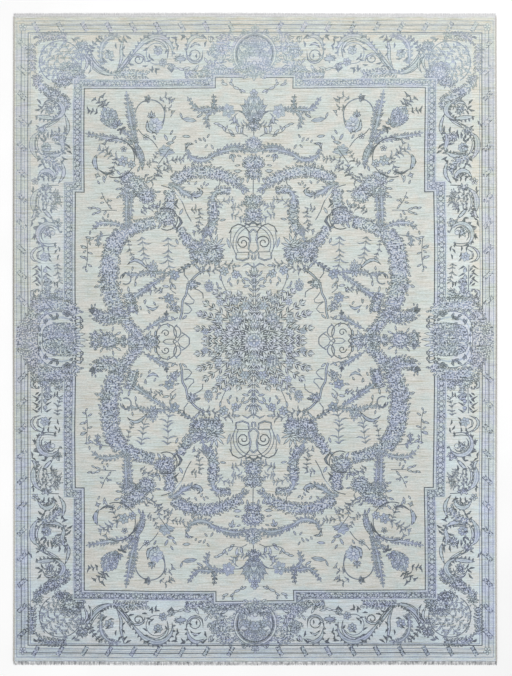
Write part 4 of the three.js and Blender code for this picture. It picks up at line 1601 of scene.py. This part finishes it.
def build_pile(material):
    surface = whole_pile(*chart_mosaic())
    middles = surface[4]
    in_guard = inside_outline(middles, GUARD_EDGE)
    in_field = inside_outline(middles, FIELD_EDGE)
    in_middle = inside_outline(middles, MIDDLE_EDGE)
    at_ends = middles[:, 1] > FIELD_EDGE[2][1]
    return [
        pile_piece(name, surface, chosen, material)
        for name, chosen in (
            ("pile_middle", in_middle),
            ("pile_field", in_field & ~in_middle),
            ("pile_guard", in_guard & ~in_field),
            ("pile_end_borders", ~in_guard & at_ends),
            ("pile_side_borders", ~in_guard & ~at_ends),
        )
    ]


def build_foundation(material):
    """The woven cotton base under the pile, as a closed slab."""
    columns, rows = 48, 64
    places = []
    for height in (0.3 * MM, FOUNDATION_HEIGHT - 0.05 * MM):
        for j in range(rows + 1):
            for i in range(columns + 1):
                places.append((SLAB_WIDTH * (i / columns - 0.5), PILE_LENGTH * (j / rows - 0.5), height))
    layer = (columns + 1) * (rows + 1)
    faces = []
    for j in range(rows):
        for i in range(columns):
            a = j * (columns + 1) + i
            b, c, d = a + 1, a + columns + 2, a + columns + 1
            faces.append((a, d, c, b))
            faces.append((layer + a, layer + b, layer + c, layer + d))
    rim = list(range(columns))
    rim += [columns + j * (columns + 1) for j in range(rows)]
    rim += [rows * (columns + 1) + i for i in range(columns, 0, -1)]
    rim += [j * (columns + 1) for j in range(rows, 0, -1)]
    for a, b in zip(rim, rim[1:] + rim[:1]):
        faces.append((a, b, layer + b, layer + a))
    return new_piece("rug_foundation", lifted(places), faces, material, ["rug_body"])


# The side cord: its turns of yarn, and its radius and ridges in millimetres
TURN_PITCH = 5.5 * MM
RINGS_PER_TURN = 3
CORD_SIDES = 8
CORD_RADIUS = 3.35
YARN_RIDGE = 0.3
CORD_INSET = 3.5 * MM
CORD_HEIGHT = 3.75 * MM


def build_selvedge(name, side, node, material):
    """The cord along one long side, with the yarn's turns round it."""
    count = round(PILE_LENGTH / TURN_PITCH) * RINGS_PER_TURN
    middle = side * (RUG_WIDTH / 2 - CORD_INSET)
    places = []
    for k in range(count + 1):
        y = PILE_LENGTH * (k / count - 0.5)
        for j in range(CORD_SIDES):
            angle = 2 * math.pi * (j + 0.5) / CORD_SIDES
            wave = math.sin(2 * math.pi * k / RINGS_PER_TURN + angle)
            radius = (CORD_RADIUS + YARN_RIDGE * wave) * MM
            x = middle - side * radius * math.cos(angle)
            places.append((x, y, CORD_HEIGHT + radius * math.sin(angle)))
    faces = []
    for k in range(count):
        for j in range(CORD_SIDES):
            a, b = k * CORD_SIDES + j, k * CORD_SIDES + (j + 1) % CORD_SIDES
            faces.append((a, b, b + CORD_SIDES, a + CORD_SIDES))
    faces.append(tuple(reversed(range(CORD_SIDES))))
    faces.append(tuple(range(count * CORD_SIDES, (count + 1) * CORD_SIDES)))
    if side < 0:
        faces = [(face[0], *reversed(face[1:])) for face in faces]
    return new_piece(name, lifted(places), faces, material, [node])


def strand_faces(start, rings):
    """Faces of a closed four-sided strand whose rings of points follow one another from the start."""
    faces = [(start + 3, start + 2, start + 1, start)]
    for k in range(rings - 1):
        for j in range(4):
            a, b = start + 4 * k + j, start + 4 * k + (j + 1) % 4
            faces.append((a, b, b + 4, a + 4))
    last = start + 4 * (rings - 1)
    faces.append((last, last + 1, last + 2, last + 3))
    return faces


STRAND_PITCH = 3.4 * MM
STRIP_START = PILE_LENGTH / 2 + 0.3 * MM
STRIP_DEPTH = 7 * MM
WEFT_ROWS = 4
# The seeds of the random lean and reach of the warps at the far and the near end
FAR_SEED, NEAR_SEED = 61, 62


def build_fringe(name, end, node, material):
    """A flat-woven strip and the cut warps past it, at one end."""
    draw = random.Random(FAR_SEED if end > 0 else NEAR_SEED)
    count = round(RUG_WIDTH / STRAND_PITCH)
    half = STRAND_PITCH * 0.46
    places = []
    faces = []
    for k in range(count):
        x = RUG_WIDTH * ((k + 0.5) / count - 0.5)
        clumped = x + 1.1 * MM * math.sin(k * 1.9) * (k % 3 - 1)
        reach = (14.2 + draw.uniform(-2.2, 1.6)) * MM
        lean = draw.uniform(-1.6, 1.6) * MM
        # How far along each ring lies, its shares of the lean and of the full width,
        # and its lower and upper height in millimetres
        rings = (
            (0, 0, 1.0, 0.3, 2.7), (STRIP_DEPTH * 0.5, 0, 1.0, 0.3, 2.8), (STRIP_DEPTH, 0, 1.0, 0.3, 2.6),
            (STRIP_DEPTH + reach * 0.3, 0.3, 0.8, 0.2, 2.2), (STRIP_DEPTH + reach * 0.7, 0.7, 0.75, 0.1, 1.7),
            (STRIP_DEPTH + reach, 1.0, 0.55, 0.1, 1.1),
        )
        faces += strand_faces(len(places), len(rings))
        for along, shift, width, low, high in rings:
            middle = x + (clumped - x + lean) * shift
            for offset, z in ((-1, low), (1, low), (0.8, high), (-0.8, high)):
                places.append((middle + half * width * offset, STRIP_START + along, z * MM))
    for row in range(WEFT_ROWS):
        weft_row(places, faces, row, count // 2)
    places = np.array(places)
    if end < 0:
        places[:, :2] *= -1
    return new_piece(name, lifted(places), faces, material, [node])


def weft_row(places, faces, row, steps):
    """Adds one weft thread of the strip, passing over and under the warps."""
    y = STRIP_START + (1.1 + 1.6 * row) * MM
    faces += strand_faces(len(places), steps + 1)
    for k in range(steps + 1):
        x = RUG_WIDTH * (k / steps - 0.5)
        top = 2.87 if (k + row) % 2 else 2.69
        for offset_y, z in ((-0.65, top), (0.65, top), (0.65, 1.6), (-0.65, 1.6)):
            places.append((x, y + offset_y * MM, z * MM))


# Studio

PHOTO_WIDTH, PHOTO_HEIGHT = 512, 676
# The middle of the rug in the photo, and how long the rug is there
RUG_MIDDLE_PIXEL = (255.0, 339.0)
RUG_LENGTH_PIXELS = 654.0
# The lens and the height of its film, in millimetres
LENS = 120
FILM_HEIGHT = 24
VIEW_REACH = 100
FLOOR_HALF = 30
FLOOR_DROP = 0.2 * MM
DAYLIGHT = 0.5


def build_camera():
    metres_per_pixel = (CAD_BOUNDS[1][1] - CAD_BOUNDS[0][1]) / RUG_LENGTH_PIXELS
    data = bpy.data.cameras.new("camera")
    data.lens = LENS
    data.sensor_fit = "VERTICAL"
    data.sensor_height = FILM_HEIGHT
    camera = bpy.data.objects.new("camera", data)
    bpy.context.scene.collection.objects.link(camera)
    camera.location = (
        (PHOTO_WIDTH / 2 - RUG_MIDDLE_PIXEL[0]) * metres_per_pixel,
        (RUG_MIDDLE_PIXEL[1] - PHOTO_HEIGHT / 2) * metres_per_pixel,
        PILE_HEIGHT + PHOTO_HEIGHT * metres_per_pixel * LENS / FILM_HEIGHT,
    )
    data.clip_end = VIEW_REACH
    bpy.context.scene.camera = camera


def area_light(name, place, size, power):
    """A round light that faces the middle of the rug."""
    data = bpy.data.lights.new(name, "AREA")
    data.shape = "DISK"
    data.size = size
    data.energy = power
    light = bpy.data.objects.new(name, data)
    light.location = place
    light.rotation_euler = (-Vector(place)).to_track_quat("-Z", "Y").to_euler()
    bpy.context.scene.collection.objects.link(light)


def build_studio():
    mesh = bpy.data.meshes.new("studio_floor")
    corners = [(x * FLOOR_HALF, y * FLOOR_HALF, 0) for x, y in ((-1, -1), (1, -1), (1, 1), (-1, 1))]
    mesh.from_pydata(corners, [], [(0, 1, 2, 3)])
    floor = bpy.data.objects.new("studio_floor", mesh)
    bpy.context.scene.collection.objects.link(floor)
    mesh.materials.append(floor_material())
    floor.location.z = -FLOOR_DROP
    area_light("key_light", (3.5, 4.0, 6.5), 4.0, 340)
    area_light("fill_light", (-4.0, -3.0, 6.0), 5.0, 160)
    world = bpy.data.worlds.new("studio")
    world.use_nodes = True
    background = world.node_tree.nodes["Background"]
    background.inputs["Color"].default_value = (1, 1, 1, 1)
    background.inputs["Strength"].default_value = DAYLIGHT
    bpy.context.scene.world = world
    bpy.context.scene.view_settings.view_transform = "Standard"


build_camera()
draw_chart()
shoulder_rings()
pile = build_pile(pile_material())
cotton = yarn_material("cotton_foundation", (178, 174, 164), (205, 202, 192), (260, 260, 40))
foundation = build_foundation(cotton)
selvedge_yarn = cord_material()
build_selvedge("overcast_left", -1, "selvedge_left", selvedge_yarn)
build_selvedge("overcast_right", 1, "selvedge_right", selvedge_yarn)
far_warp = yarn_material("far_warp", (200, 200, 202), (236, 236, 236), (400, 60, 90))
# The near warps' dark patches are painted shadow between the strands
near_warp_shadowed = yarn_material("near_warp_shadowed", (118, 120, 124), (246, 247, 248), (70, 25, 90))
fringes = [
    build_fringe("end_far", 1, "fringe_far", far_warp),
    build_fringe("end_near", -1, "fringe_near", near_warp_shadowed),
]
build_studio()
